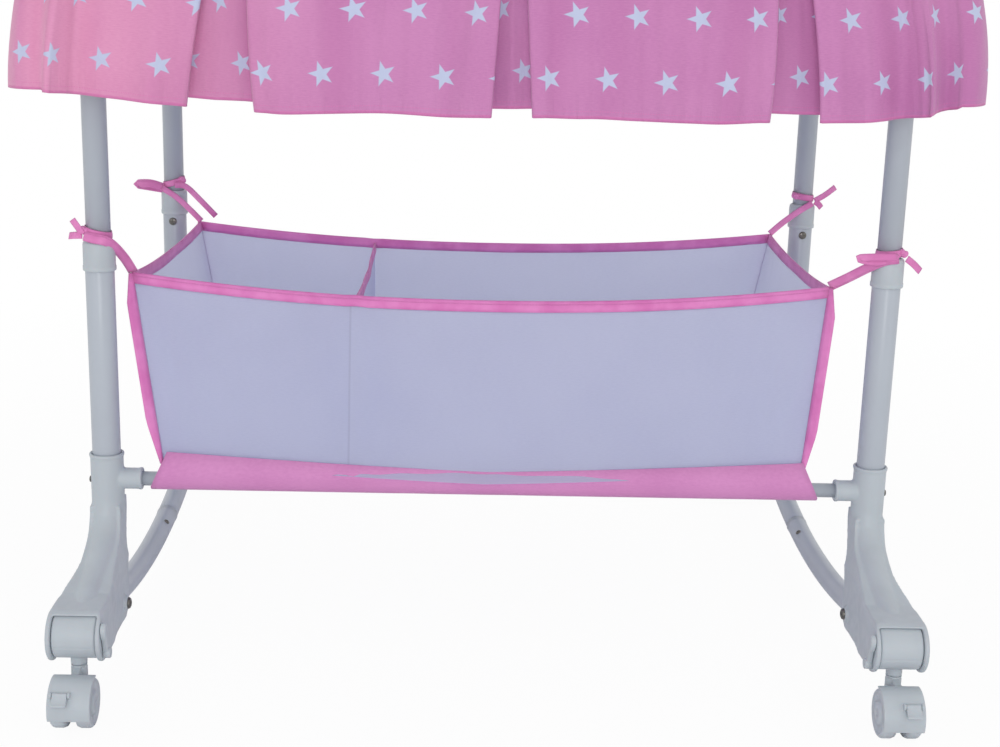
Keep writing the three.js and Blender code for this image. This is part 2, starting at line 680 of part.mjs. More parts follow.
/** One ring of the skirt. Inset moves it inward by the cloth's thickness. */
function skirtRing(places, flareShare, heightShare, inset) {
  const topHalfX = rimInnerHalfX + RIM_THICKNESS + CLEARANCE + SKIRT_THICKNESS;
  const topHalfY = rimInnerHalfY + RIM_THICKNESS + CLEARANCE + SKIRT_THICKNESS;
  const topRadius = RIM_CORNER_RADIUS + RIM_THICKNESS + CLEARANCE + SKIRT_THICKNESS;
  const halfX = topHalfX + (legX + HEM_END_REACH - topHalfX) * flareShare;
  const halfY = topHalfY + (legY + HEM_SIDE_REACH - topHalfY) * flareShare;
  const radius = topRadius + (HEM_CORNER_RADIUS - topRadius) * flareShare;
  const topHeight = rimTopHeight - SKIRT_TOP_DROP;
  return places.map((place) => {
    const bulge = (PANEL_BULGE * (place.swell ?? 0) - PLEAT_DEPTH * (place.fold ?? 0)) * flareShare;
    const grow = bulge - PANEL_BULGE * flareShare - inset;
    const flat = outlinePoint(place, halfX + grow, halfY + grow, Math.max(radius + grow, radius / 2));
    const lift = (place.turn === null ? 0 : HEM_CORNER_LIFT) + HEM_PLEAT_LIFT * (place.fold ?? 0);
    const hem = HEM_HEIGHT + lift;
    return new THREE.Vector3(flat.x, flat.y, hem + (topHeight - hem) * heightShare);
  });
}

/** Places round the skirt, with pleats on every side. */
function skirtPlaces() {
  const straightX = legX + HEM_END_REACH - HEM_CORNER_RADIUS;
  const straightY = legY + HEM_SIDE_REACH - HEM_CORNER_RADIUS;
  const longCentres = [-PLEAT_PITCH, 0, PLEAT_PITCH].map((centre) => centre + PLEAT_SHIFT);
  const sides = [
    { axis: "end", sign: 1, half: straightY, centres: [0], flip: 1 },
    { axis: "side", sign: 1, half: straightX, centres: longCentres, flip: -1 },
    { axis: "end", sign: -1, half: straightY, centres: [0], flip: -1 },
    { axis: "side", sign: -1, half: straightX, centres: longCentres, flip: 1 },
  ];
  return sides.flatMap((side, quarter) => {
    const marks = pleatStations(side.centres, side.half).map((mark) => ({
      ...mark, axis: side.axis, sign: side.sign, turn: null, quarter, share: mark.place / side.half,
    }));
    const ordered = side.flip > 0 ? marks : marks.reverse();
    const corner = SKIRT_CORNER_SHARES.map((turn) => ({
      axis: side.axis, sign: side.sign, share: 1, turn, quarter,
    }));
    return [...ordered, ...corner];
  });
}

/** Skirt that hangs from the rim and flares to a pleated hem. */
function skirtGeometry() {
  const places = skirtPlaces();
  const rings = (inset) => SKIRT_ROW_SHARES.map(([flare, height]) => skirtRing(places, flare, height, inset));
  const outer = rings(0);
  const inner = rings(SKIRT_THICKNESS);
  return geometryOf(solid(loft([...outer, ...inner.reverse()], true)));
}

// Basket

const basketRimX = legX - BASKET_RIM_END_GAP;
const basketRimY = legY - BASKET_RIM_SIDE_GAP;
const basketBaseX = legX - BASKET_BASE_END_GAP;
const sleeveRadius = boreRadius(BAR_RADIUS, SMALL_SIDES) + BASKET_SLEEVE_WALL;
const basketBaseY = legY + sleeveRadius;
const basketFloorHeight = BAR_HEIGHT + sleeveRadius * Math.cos(Math.PI / SMALL_SIDES) + CLEARANCE;

/** Rim height at a station: the long sides hang down most. */
function basketRimHeight(place) {
  if (place.turn !== null) {
    return BASKET_RIM_HEIGHT;
  }
  const sag = place.axis === "side" ? BASKET_SIDE_SAG : BASKET_END_SAG;
  return BASKET_RIM_HEIGHT - sag * (1 - place.share * place.share);
}

/** Height of the long rims where the divider meets them. */
function dividerRimHeight() {
  const share = DIVIDER_PLACE / (basketRimX - BASKET_CORNER_RADIUS);
  return basketRimHeight({ axis: "side", turn: null, share });
}

/** Half sizes of the basket at a height, along the bed and front to back. */
function basketHalves(height) {
  const rise = (height - basketFloorHeight) / (BASKET_RIM_HEIGHT - basketFloorHeight);
  return [
    basketBaseX + (basketRimX - basketBaseX) * rise,
    basketBaseY + (basketRimY - basketBaseY) * rise,
  ];
}

/** How far the long sides and the ends bow outward at a height, so that every facet stays flat. */
function basketBows(height) {
  const straights = (halves) => halves.map((half) => half - BASKET_CORNER_RADIUS);
  const base = straights([basketBaseX, basketBaseY]);
  const here = straights(basketHalves(height));
  return [(BASKET_SIDE_BOW * here[0]) / base[0], (BASKET_END_BOW * here[1]) / base[1]];
}

/** Ring of the basket's outer or inner face, whose walls lean inward as they rise. */
function basketRing(places, inset, heightAt) {
  return places.map((place) => {
    const height = heightAt(place);
    const [halfX, halfY] = basketHalves(height).map((half) => half - inset);
    const flat = outlinePoint(place, halfX, halfY, BASKET_CORNER_RADIUS - inset);
    if (place.turn === null) {
      const [sideBow, endBow] = basketBows(height);
      const out = place.sign * (1 - place.share * place.share);
      const bow = place.axis === "end" ? [out * endBow, 0] : [0, out * sideBow];
      flat.add(new THREE.Vector2(...bow));
    }
    return new THREE.Vector3(flat.x, flat.y, height);
  });
}

/** Half width that the basket leaves at the divider, between the flat facets of its long sides. */
function dividerHalfY(height) {
  const [halfX, halfY] = basketHalves(height);
  const share = Math.abs(DIVIDER_PLACE) / (halfX - BASKET_CORNER_RADIUS);
  const stations = [...BASKET_LONG_SHARES.filter((station) => station >= 0), 1];
  const next = stations.findIndex((station) => station >= share);
  const [from, to] = [stations[next - 1], stations[next]];
  const bowShare = 1 - from * from - (share - from) * (to + from);
  return halfY + basketBows(height)[0] * bowShare - BASKET_WALL;
}

/** Open storage basket with sagging rims. */
function basketGeometry() {
  const places = outlineStations(BASKET_LONG_SHARES, BASKET_SHORT_SHARES, BASKET_CORNER_STEPS);
  const cup = loft([
    basketRing(places, 0, () => basketFloorHeight),
    basketRing(places, 0, basketRimHeight),
    basketRing(places, BASKET_WALL, basketRimHeight),
    basketRing(places, BASKET_WALL, () => basketFloorHeight + BASKET_FLOOR),
  ]);
  return geometryOf(solid(cup));
}

/** Cloth sleeve round a basket bar, on which the basket's floor rests. */
function sleeveGeometry() {
  const half = legX - BASKET_SLEEVE_END_GAP;
  const section = ringShape(sleeveRadius, boreRadius(BAR_RADIUS, SMALL_SIDES), SMALL_SIDES);
  return geometryOf(solid(acrossX(shiftedRing(section, 0, BAR_HEIGHT), -half, half)));
}

/** Cloth panel that parts the basket in two. */
function dividerGeometry() {
  const bottom = basketFloorHeight + BASKET_FLOOR + CLEARANCE;
  const top = dividerRimHeight() - DIVIDER_TOP_DROP;
  const [low, high] = [bottom, top].map((height) => dividerHalfY(height) - CLEARANCE);
  const shape = new THREE.Shape([
    new THREE.Vector2(-low, bottom),
    new THREE.Vector2(low, bottom),
    new THREE.Vector2(high, top),
    new THREE.Vector2(-high, top),
  ]);
  const middle = DIVIDER_PLACE;
  return geometryOf(solid(acrossX(shape, middle - DIVIDER_THICKNESS / 2, middle + DIVIDER_THICKNESS / 2)));
}

/** Bar through a basket sleeve, held by the sockets of two feet. */
function basketBarGeometry() {
  const half = legX - BAR_SOCKET_REACH + BAR_INSERT;
  const section = ringShape(BAR_RADIUS, BAR_RADIUS - BAR_WALL, SMALL_SIDES);
  return geometryOf(solid(acrossX(shiftedRing(section, 0, BAR_HEIGHT), -half, half)));
}

/** Ribbon loop round a leg with its strap to the basket corner, knot and tails, seen from its leg. */
function tieGeometry() {
  const innerRadius = boreRadius(UPPER_TUBE_RADIUS);
  const outerRadius = innerRadius + TIE_THICKNESS;
  const loop = ringShape(outerRadius, innerRadius);
  const ring = upright(loop, tieHeight - TIE_WIDTH / 2, tieHeight + TIE_WIDTH / 2);
  const cornerOut = new THREE.Vector3(
    basketRimX - legX + TIE_KNOT_RADIUS,
    basketRimY - legY + TIE_KNOT_RADIUS,
    BASKET_RIM_HEIGHT + TIE_WIDTH / 2 + CLEARANCE,
  );
  const inward = new THREE.Vector3(cornerOut.x, cornerOut.y, 0).normalize();
  const rootReach = (innerRadius + outerRadius) / 2;
  const root = inward.clone().multiplyScalar(rootReach).setZ(tieHeight - TIE_THICKNESS / 2);
  const pastCollar = inward.clone().multiplyScalar(collarRadius + TIE_WIDTH / 2).setZ(tieHeight);
  const strap = ribbon([root, pastCollar, cornerOut], TIE_WIDTH, TIE_THICKNESS);
  const knotX = outerRadius + TIE_KNOT_RADIUS / 2;
  const knot = new THREE.IcosahedronGeometry(TIE_KNOT_RADIUS, 0).translate(knotX, 0, tieHeight);
  const tails = [-1, 1].map((sign) => {
    const points = TIE_TAIL_SHARES.map(([outShare, dropShare]) => new THREE.Vector3(
      knotX + TIE_TAIL_SPREAD * outShare,
      sign * TIE_TAIL_SPREAD * (outShare + TIE_TAIL_START_SHARE),
      tieHeight - TIE_TAIL_LENGTH * dropShare,
    ));
    return ribbon(points, TIE_TAIL_WIDTH, TIE_THICKNESS);
  });
  return geometryOf(joined(ring, strap, knot, ...tails));
}

// Rockers

/** Height of a rocker's centre line at a place front to back. */
function rockerHeight(place) {
  const rise = ROCKER_ARC_RADIUS - Math.sqrt(ROCKER_ARC_RADIUS * ROCKER_ARC_RADIUS - place * place);
  return ROCKER_LOW_HEIGHT + rise;
}

/** Path along a rocker's arc between two places. */
function rockerPath(from, to, steps = ROCKER_STEPS) {
  return new StationPath(Array.from({ length: steps + 1 }, (_, step) => {
    const place = from + ((to - from) * step) / steps;
    const drop = Math.sqrt(ROCKER_ARC_RADIUS * ROCKER_ARC_RADIUS - place * place);
    return station(place, rockerHeight(place), drop, place);
  }));
}

/** Front length of a rocker, from the front foot to the joint. */
function rockerFrontGeometry() {
  const section = ringShape(ROCKER_RADIUS, ROCKER_RADIUS - ROCKER_WALL);
  return geometryOf(solid(swept(section, rockerPath(-rockerEnd, ROCKER_JOINT))));
}

/** Rear length of a rocker, with the narrowed end that slides into the front length. */
function rockerRearGeometry() {
  const start = ROCKER_JOINT + CLEARANCE;
  const section = ringShape(ROCKER_RADIUS, ROCKER_RADIUS - ROCKER_WALL);
  const tube = swept(section, rockerPath(start, rockerEnd, ROCKER_STEPS / 2));
  const spigotInner = ROCKER_SPIGOT_RADIUS - ROCKER_SPIGOT_WALL;
  const spigotPath = rockerPath(ROCKER_JOINT - ROCKER_SPIGOT_LENGTH, start + ROCKER_SHOULDER, 1);
  const spigot = swept(ringShape(ROCKER_SPIGOT_RADIUS, spigotInner), spigotPath);
  const shoulderPath = rockerPath(start + CLEARANCE, start + ROCKER_SHOULDER - CLEARANCE, 1);
  const shoulderInner = ROCKER_SPIGOT_RADIUS - ROCKER_SPIGOT_WALL / 2;
  const shoulder = swept(ringShape(ROCKER_RADIUS - ROCKER_WALL / 2, shoulderInner), shoulderPath);
  return geometryOf(joined(tube, shoulder, spigot));
}

// Feet, each seen from its leg: X is outboard and Y is outward, away from the middle of the cradle

/** Point of the foot's outline from its shares. */
function footPoint([outShare, riseShare]) {
  return new THREE.Vector2(HINGE_OUT * outShare, SOLE_HEIGHT + (NECK_TOP_HEIGHT - SOLE_HEIGHT) * riseShare);
}

/** Side outline of a foot: ridge, round nose, sole and heel. */
function footOutline() {
  return new THREE.Shape([
    ...FOOT_HEEL_SHARES.map(footPoint).reverse(),
    ...FOOT_SOLE_SHARES.map(footPoint).reverse(),
    ...arcPoints(HINGE_OUT, HINGE_HEIGHT, CHEEK_RADIUS, -90, 90, CHEEK_STEPS),
    ...FOOT_RIDGE_SHARES.map(footPoint).reverse(),
  ]);
}

/** Outline of a foot's nose from above: it widens from the neck to the fork. */
function footNosePlan() {
  const widening = footHalfWidth - NECK_HALF_WIDTH;
  const right = FOOT_WIDTH_SHARES.map(([outShare, wideShare]) =>
    new THREE.Vector2(NECK_HALF_WIDTH + widening * wideShare, HINGE_OUT * outShare));
  right.push(new THREE.Vector2(footHalfWidth, HINGE_OUT + CHEEK_RADIUS + OVERRUN));
  const left = right.map((point) => new THREE.Vector2(-point.x, point.y)).reverse();
  return new THREE.Shape([...right, ...left]);
}

/** Neck and nose of a foot before anything is cut from them. */
function footHull() {
  const [neck, nose] = [NECK_HALF_WIDTH, footHalfWidth].map((half) =>
    solid(acrossX(footOutline(), -half, half, FOOT_EDGE_ROUND)));
  const plan = upright(footNosePlan(), SOLE_HEIGHT - OVERRUN, NECK_TOP_HEIGHT + OVERRUN);
  return nose.intersect(solid(plan)).add(neck);
}

/** Leg socket with its top flange and the socket for the basket bar. */
function footSockets() {
  const flangeBottom = SOCKET_TOP_HEIGHT - SOCKET_FLANGE_HEIGHT;
  const post = turned([
    [0, SOCKET_BASE_HEIGHT],
    [socketRadius, SOCKET_BASE_HEIGHT],
    [socketRadius, flangeBottom],
    [socketRadius + SOCKET_FLANGE, flangeBottom],
    [socketRadius + SOCKET_FLANGE, SOCKET_TOP_HEIGHT],
    [0, SOCKET_TOP_HEIGHT],
  ]);
  return [post, barX(BAR_SOCKET_RADIUS, -BAR_SOCKET_REACH, 0, 0, BAR_HEIGHT)];
}

/** Moulded foot that joins a leg, a rocker and a basket bar, and carries a fold-away caster in its fork. */
function footGeometry() {
  const bossStart = ROCKER_BORE_START + OVERRUN;
  const bossPath = footRockerPath(bossStart, bossStart + ROCKER_BOSS_LENGTH);
  const boss = swept(roundShape(ROCKER_RADIUS + CLEARANCE + ROCKER_BOSS_WALL), bossPath);
  const boltBoss = barX(BOLT_BOSS_RADIUS, -BOLT_BOSS_REACH, 0, ROCKER_END_REACH, rockerHeight(rockerEnd));
  return geometryOf(cut(footHull().add(joined(boss, boltBoss, ...footSockets())), ...footCuts()));
}

/** Rocker's arc as a foot sees it, between two places outward of the leg. */
function footRockerPath(from, to) {
  const path = rockerPath(from + legY, to + legY, 1);
  path.stations.forEach(({ point }) => point.setY(point.y - legY));
  return path;
}

/** Side outline of the mouth in which a carrier's neck swings from hanging to level. */
function mouthShape() {
  const neckReach = CARRIER_NECK_RADIUS + CLEARANCE * 2;
  const farOut = HINGE_OUT + CHEEK_RADIUS + OVERRUN;
  return new THREE.Shape([
    new THREE.Vector2(HINGE_OUT - neckReach, SOLE_HEIGHT - OVERRUN),
    new THREE.Vector2(farOut, SOLE_HEIGHT - OVERRUN),
    new THREE.Vector2(farOut, HINGE_HEIGHT + neckReach),
    new THREE.Vector2(HINGE_OUT + BARREL_RADIUS / 2, HINGE_HEIGHT + CHEEK_RADIUS + OVERRUN),
    new THREE.Vector2(HINGE_OUT, HINGE_HEIGHT),
    new THREE.Vector2(HINGE_OUT - neckReach, HINGE_HEIGHT),
  ]);
}

/** What is cut from a foot: bores, fork slot and pin holes. */
function footCuts() {
  const slotHalf = BARREL_WIDTH / 2 + BARREL_SLOT_GAP;
  const slotRadius = BARREL_RADIUS + BARREL_SLOT_GAP;
  const slotCorners = slotRadius / Math.cos(Math.PI / WHEEL_SIDES);
  const barrelSlot = barX(slotCorners, -slotHalf, slotHalf, HINGE_OUT, HINGE_HEIGHT, WHEEL_SIDES);
  const pinReach = footHalfWidth + OVERRUN;
  const legBore = roundShape(boreRadius(LOWER_TUBE_RADIUS));
  const rockerPlaces = [ROCKER_BORE_START - OVERRUN * 2, ROCKER_END_REACH + CLEARANCE];
  return [
    upright(legBore, LEG_SEAT_HEIGHT - CLEARANCE, SOCKET_TOP_HEIGHT + OVERRUN),
    barX(boreRadius(BAR_RADIUS, SMALL_SIDES), -BAR_SOCKET_REACH - OVERRUN,
      -BAR_SOCKET_REACH + BAR_INSERT + CLEARANCE, 0, BAR_HEIGHT, SMALL_SIDES),
    swept(roundShape(boreRadius(ROCKER_RADIUS)), footRockerPath(...rockerPlaces)),
    barrelSlot,
    acrossX(mouthShape(), -slotHalf, slotHalf),
    barX(boreRadius(TRUNNION_RADIUS, SMALL_SIDES), -pinReach, pinReach,
      HINGE_OUT, HINGE_HEIGHT, SMALL_SIDES),
    barX(boreRadius(LOCK_PIN_RADIUS, SMALL_SIDES), -pinReach, -slotHalf + OVERRUN,
      LOCK_PIVOT_OUT, LOCK_PIVOT_HEIGHT, SMALL_SIDES),
  ];
}

/** Barrel that turns in the fork, with its trunnions and the neck for the caster's pin. */
function carrierGeometry() {
  const barrel = acrossX(shiftedShape(roundShape(BARREL_RADIUS, WHEEL_SIDES), HINGE_OUT, HINGE_HEIGHT),
    -BARREL_WIDTH / 2, BARREL_WIDTH / 2, BARREL_EDGE_ROUND);
  const trunnion = barX(TRUNNION_RADIUS, -footHalfWidth + CLEARANCE, footHalfWidth - CLEARANCE,
    HINGE_OUT, HINGE_HEIGHT, SMALL_SIDES);
  const neckShape = shiftedShape(roundShape(CARRIER_NECK_RADIUS), 0, HINGE_OUT);
  const neck = upright(neckShape, CARRIER_NECK_BOTTOM_HEIGHT, HINGE_HEIGHT);
  const boreShape = roundShape(boreRadius(SWIVEL_PIN_RADIUS, SMALL_SIDES), SMALL_SIDES);
  const pinBore = upright(shiftedShape(boreShape, 0, HINGE_OUT),
    CARRIER_NECK_BOTTOM_HEIGHT - OVERRUN, SWIVEL_PIN_TOP_HEIGHT + CLEARANCE);
  return geometryOf(cut(joined(barrel, trunnion, neck), pinBore));
}

/** Lever on the inner cheek that frees the barrel so that its caster folds. */
function lockGeometry() {
  const outer = -footHalfWidth - CLEARANCE;
  const angle = THREE.MathUtils.degToRad(LOCK_ANGLE);
  const along = new THREE.Vector2(Math.cos(angle), Math.sin(angle));
  const side = new THREE.Vector2(-along.y, along.x);
  const at = (reach, across) => new THREE.Vector2(LOCK_PIVOT_OUT, LOCK_PIVOT_HEIGHT)
    .addScaledVector(along, reach).addScaledVector(side, across);
  const tabStart = LOCK_ARM_LENGTH - LOCK_TAB_LENGTH / 2;
  const arm = new THREE.Shape([
    at(0, -LOCK_ARM_HALF_WIDTH),
    at(tabStart, -LOCK_ARM_HALF_WIDTH),
    at(tabStart, -LOCK_TAB_HALF_WIDTH),
    at(LOCK_ARM_LENGTH + LOCK_TAB_LENGTH / 4, -LOCK_TAB_HALF_WIDTH),
    at(LOCK_ARM_LENGTH + LOCK_TAB_LENGTH / 2, 0),
    at(LOCK_ARM_LENGTH + LOCK_TAB_LENGTH / 4, LOCK_TAB_HALF_WIDTH),
    at(tabStart, LOCK_TAB_HALF_WIDTH),
    at(tabStart, LOCK_ARM_HALF_WIDTH),
    at(0, LOCK_ARM_HALF_WIDTH),
  ]);
  const bossReach = outer - LOCK_WIDTH - LOCK_PIN_RADIUS;
  return geometryOf(joined(
    acrossX(arm, outer - LOCK_WIDTH, outer),
    barX(LOCK_PIVOT_RADIUS, bossReach, outer - CLEARANCE, LOCK_PIVOT_OUT, LOCK_PIVOT_HEIGHT),
    barX(LOCK_PIN_RADIUS, bossReach + CLEARANCE, -footHalfWidth + CHEEK_THICKNESS - CLEARANCE,
      LOCK_PIVOT_OUT, LOCK_PIVOT_HEIGHT, SMALL_SIDES),
  ));
}

// Casters

const wheelCornerRadius = WHEEL_RADIUS / Math.cos(Math.PI / WHEEL_SIDES);
const hoodInnerRadius = boreRadius(wheelCornerRadius, WHEEL_SIDES);
const hoodOuterRadius = hoodInnerRadius + HOOD_WALL;
const hoodBossTop = CARRIER_NECK_BOTTOM_HEIGHT - CLEARANCE;

/** Twin wheels on their axle. A flat facet meets the floor. */
function wheelsGeometry() {
  const half = [
    [AXLE_RADIUS, WHEEL_GAP / 2],
    [wheelCornerRadius - WHEEL_EDGE_ROUND, WHEEL_GAP / 2],
    [wheelCornerRadius, WHEEL_GAP / 2 + WHEEL_EDGE_ROUND],
    [wheelCornerRadius, WHEEL_OUTER_HALF_WIDTH - 2 * WHEEL_EDGE_ROUND],
    [wheelCornerRadius - WHEEL_EDGE_ROUND, WHEEL_OUTER_HALF_WIDTH - WHEEL_EDGE_ROUND / 2],
    [0, WHEEL_OUTER_HALF_WIDTH],
  ];
  const mirrored = half.map(([radius, place]) => [radius, -place]).reverse();
  const body = turned([...mirrored, ...half], WHEEL_SIDES);
  body.rotateZ(Math.PI / WHEEL_SIDES).rotateY(Math.PI / 2).translate(0, axleOut, WHEEL_RADIUS);
  return geometryOf(solid(body));
}

/** Side outline of the arch over the wheels. */
function archShape() {
  const [front, back] = [HOOD_FRONT_ANGLE, HOOD_BACK_ANGLE];
  return new THREE.Shape([
    ...arcPoints(axleOut, WHEEL_RADIUS, hoodOuterRadius, front, back, WHEEL_SIDES / 2),
    ...arcPoints(axleOut, WHEEL_RADIUS, hoodInnerRadius, back, front, WHEEL_SIDES / 2),
  ]);
}

/** Side outline of the web between the wheels, from the axle to the boss. */
function webShape() {
  const backOut = HINGE_OUT - HOOD_BOSS_RADIUS + CLEARANCE;
  const hub = [WEB_HUB_RADIUS, WEB_HUB_FROM_ANGLE, WEB_HUB_TO_ANGLE, EAR_STEPS];
  return new THREE.Shape([
    new THREE.Vector2(backOut, WHEEL_RADIUS + WEB_HUB_RADIUS / 2),
    ...arcPoints(axleOut, WHEEL_RADIUS, ...hub),
    new THREE.Vector2(axleOut + WEB_HUB_RADIUS, WHEEL_RADIUS + hoodInnerRadius - CLEARANCE),
    new THREE.Vector2(HINGE_OUT, hoodBossTop - CLEARANCE),
    new THREE.Vector2(backOut, WHEEL_RADIUS + hoodInnerRadius / 2),
  ]);
}

/** Boss that carries the swivel pin, cut back where the wheels turn. */
function hoodBoss() {
  const shape = shiftedShape(roundShape(HOOD_BOSS_RADIUS), 0, HINGE_OUT);
  const reach = HOOD_HALF_WIDTH + OVERRUN;
  const wheelSpace = barX(hoodInnerRadius, -reach, reach, axleOut, WHEEL_RADIUS, WHEEL_SIDES * 2);
  return cut(solid(upright(shape, WHEEL_RADIUS + WEB_HUB_RADIUS / 2, hoodBossTop)), wheelSpace);
}

/** Hood over the wheels, its web, its boss and the swivel pin. */
function hoodGeometry() {
  const pinShape = shiftedShape(roundShape(SWIVEL_PIN_RADIUS, SMALL_SIDES), 0, HINGE_OUT);
  const whole = hoodBoss().add(joined(
    acrossX(archShape(), -HOOD_HALF_WIDTH, HOOD_HALF_WIDTH),
    acrossX(webShape(), -HOOD_WEB_HALF_WIDTH, HOOD_WEB_HALF_WIDTH),
    upright(pinShape, hoodBossTop - HOOD_BOSS_RADIUS, SWIVEL_PIN_TOP_HEIGHT),
    ...pedalEars(),
  ));
  const axleBore = barX(boreRadius(AXLE_RADIUS, SMALL_SIDES), -HOOD_HALF_WIDTH, HOOD_HALF_WIDTH,
    axleOut, WHEEL_RADIUS, SMALL_SIDES);
  return geometryOf(cut(whole, axleBore, pedalPinBore()));
}

/** Places of a pedal's two sides. */
function pedalSides() {
  return [PEDAL_OFFSET - PEDAL_WIDTH / 2, PEDAL_OFFSET + PEDAL_WIDTH / 2];
}

/** Ears on the hood that hold the brake pedal. */
function pedalEars() {
  const [inner, outer] = pedalSides();
  const pivot = new THREE.Vector2(axleOut + PEDAL_PIVOT_REACH, WHEEL_RADIUS + PEDAL_PIVOT_RISE);
  const root = hoodInnerRadius + HOOD_WALL / 2;
  const rootAt = (rise) =>
    new THREE.Vector2(axleOut + Math.sqrt(root * root - rise * rise), WHEEL_RADIUS + rise);
  const ear = new THREE.Shape([
    rootAt(PEDAL_PIVOT_RISE - PEDAL_EAR_RADIUS),
    ...arcPoints(pivot.x, pivot.y, PEDAL_EAR_RADIUS, -EAR_HALF_ANGLE, EAR_HALF_ANGLE, EAR_STEPS),
    rootAt(PEDAL_PIVOT_RISE + PEDAL_EAR_RADIUS),
  ]);
  return [
    acrossX(ear, inner - CLEARANCE - PEDAL_EAR_WIDTH, inner - CLEARANCE),
    acrossX(ear, outer + CLEARANCE, outer + CLEARANCE + PEDAL_EAR_WIDTH),
  ];
}

/** Bore through the pedal's ears. */
function pedalPinBore() {
  const [inner, outer] = pedalSides();
  return barX(boreRadius(PEDAL_PIN_RADIUS, SMALL_SIDES), inner - OVERRUN * 2, outer + OVERRUN * 2,
    axleOut + PEDAL_PIVOT_REACH, WHEEL_RADIUS + PEDAL_PIVOT_RISE, SMALL_SIDES);
}

/** Brake pedal on the outer face of the hood. */
function pedalGeometry() {
  const [inner, outer] = pedalSides();
  const pivot = new THREE.Vector2(axleOut + PEDAL_PIVOT_REACH, WHEEL_RADIUS + PEDAL_PIVOT_RISE);
  const angle = THREE.MathUtils.degToRad(PEDAL_ANGLE);
  const along = new THREE.Vector2(Math.cos(angle), Math.sin(angle));
  const side = new THREE.Vector2(-along.y, along.x).multiplyScalar(PEDAL_THICKNESS / 2);
  const at = (reach, across) => pivot.clone().addScaledVector(along, reach).addScaledVector(side, across);
  const plate = new THREE.Shape([at(0, -1), at(PEDAL_LENGTH, -1), at(PEDAL_LENGTH, 1), at(0, 1)]);
  return geometryOf(joined(
    acrossX(plate, inner, outer),
    acrossX(shiftedShape(roundShape(PEDAL_ROOT_RADIUS, SMALL_SIDES), pivot.x, pivot.y), inner, outer),
    barX(PEDAL_PIN_RADIUS, inner - CLEARANCE - PEDAL_EAR_WIDTH, outer + CLEARANCE + PEDAL_EAR_WIDTH,
      pivot.x, pivot.y, SMALL_SIDES),
  ));
}

// Assembly

/** Named mesh of a piece. */
function piece(name, geometry, material) {
  const mesh = new THREE.Mesh(geometry, material);
  mesh.name = name;
  return mesh;
}

/** Pieces that every corner has, built once and placed by each corner's group. */
function cornerPieces() {
  return [
    ["leg_tube", legTubeGeometry(), tubePaint],
    ["leg_collar", collarGeometry(), whitePlastic],
    ["corner_connector", connectorGeometry(), whitePlastic],
    ["basket_tie", tieGeometry(), ribbonFabric],
    ["foot", footGeometry(), whitePlastic],
    ["caster_carrier", carrierGeometry(), whitePlastic],
    ["fold_lock", lockGeometry(), whitePlastic],
    ["caster_hood", hoodGeometry(), whitePlastic],
    ["caster_wheels", wheelsGeometry(), wheelPlastic],
    ["brake_pedal", pedalGeometry(), whitePlastic],
  ];
}

/** The four corners, each a mirrored copy with its own named meshes. */
function corners() {
  const pieces = cornerPieces();
  return [["front", -1], ["rear", 1]].flatMap(([depthName, depthSign]) =>
    [["left", -1], ["right", 1]].map(([sideName, sideSign]) => {
      const corner = new THREE.Group();
      corner.position.set(sideSign * legX, depthSign * legY, 0);
      corner.scale.set(sideSign, depthSign, 1);
      corner.add(...pieces.map(([name, geometry, material]) =>
        piece(`${name}_${depthName}_${sideName}`, geometry, material)));
      return corner;
    }));
}

/** End frames and rockers, one set at each end of the bed. */
function ends() {
  const frame = endFrameGeometry();
  const rockerFront = rockerFrontGeometry();
  const rockerRear = rockerRearGeometry();
  return [["left", -1], ["right", 1]].map(([name, sign]) => {
    const end = new THREE.Group();
    end.position.x = sign * legX;
    end.add(
      piece(`end_frame_${name}`, frame, tubePaint),
      piece(`rocker_front_${name}`, rockerFront, tubePaint),
      piece(`rocker_rear_${name}`, rockerRear, tubePaint),
    );
    return end;
  });
}

/** Side rails and basket bars, front and rear. */
function sides() {
  const rail = sideRailGeometry();
  const bar = basketBarGeometry();
  const sleeve = sleeveGeometry();
  return [["front", -1], ["rear", 1]].map(([name, sign]) => {
    const side = new THREE.Group();
    side.position.y = sign * legY;
    side.add(
      piece(`side_rail_${name}`, rail, tubePaint),
      piece(`basket_bar_${name}`, bar, tubePaint),
      piece(`basket_sleeve_${name}`, sleeve, pinkFabric),
    );
    return side;
  });
}

const cradle = new THREE.Group();
cradle.name = "baby_cradle";
cradle.add(
  ...corners(),
  ...ends(),
  ...sides(),
  piece("bed_liner", linerGeometry(), whiteFabric),
  piece("bed_board", boardGeometry(), boardWood),
  piece("mattress", mattressGeometry(), whiteFabric),
  piece("skirt", skirtGeometry(), pinkFabric),
  piece("basket", basketGeometry(), whiteFabric),
  piece("basket_divider", dividerGeometry(), whiteFabric),
);

export default cradle;
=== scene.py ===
"""Baby cradle: the looks of its cloth, painted tubes, mouldings and casters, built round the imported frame.

Metres. +Z is up, +X runs along the bed and -Y is the front.
"""

import json
import logging
import math
from collections.abc import Sequence
from dataclasses import dataclass, field
from enum import Enum

import bmesh
import bpy
from mathutils import Matrix, Vector, noise

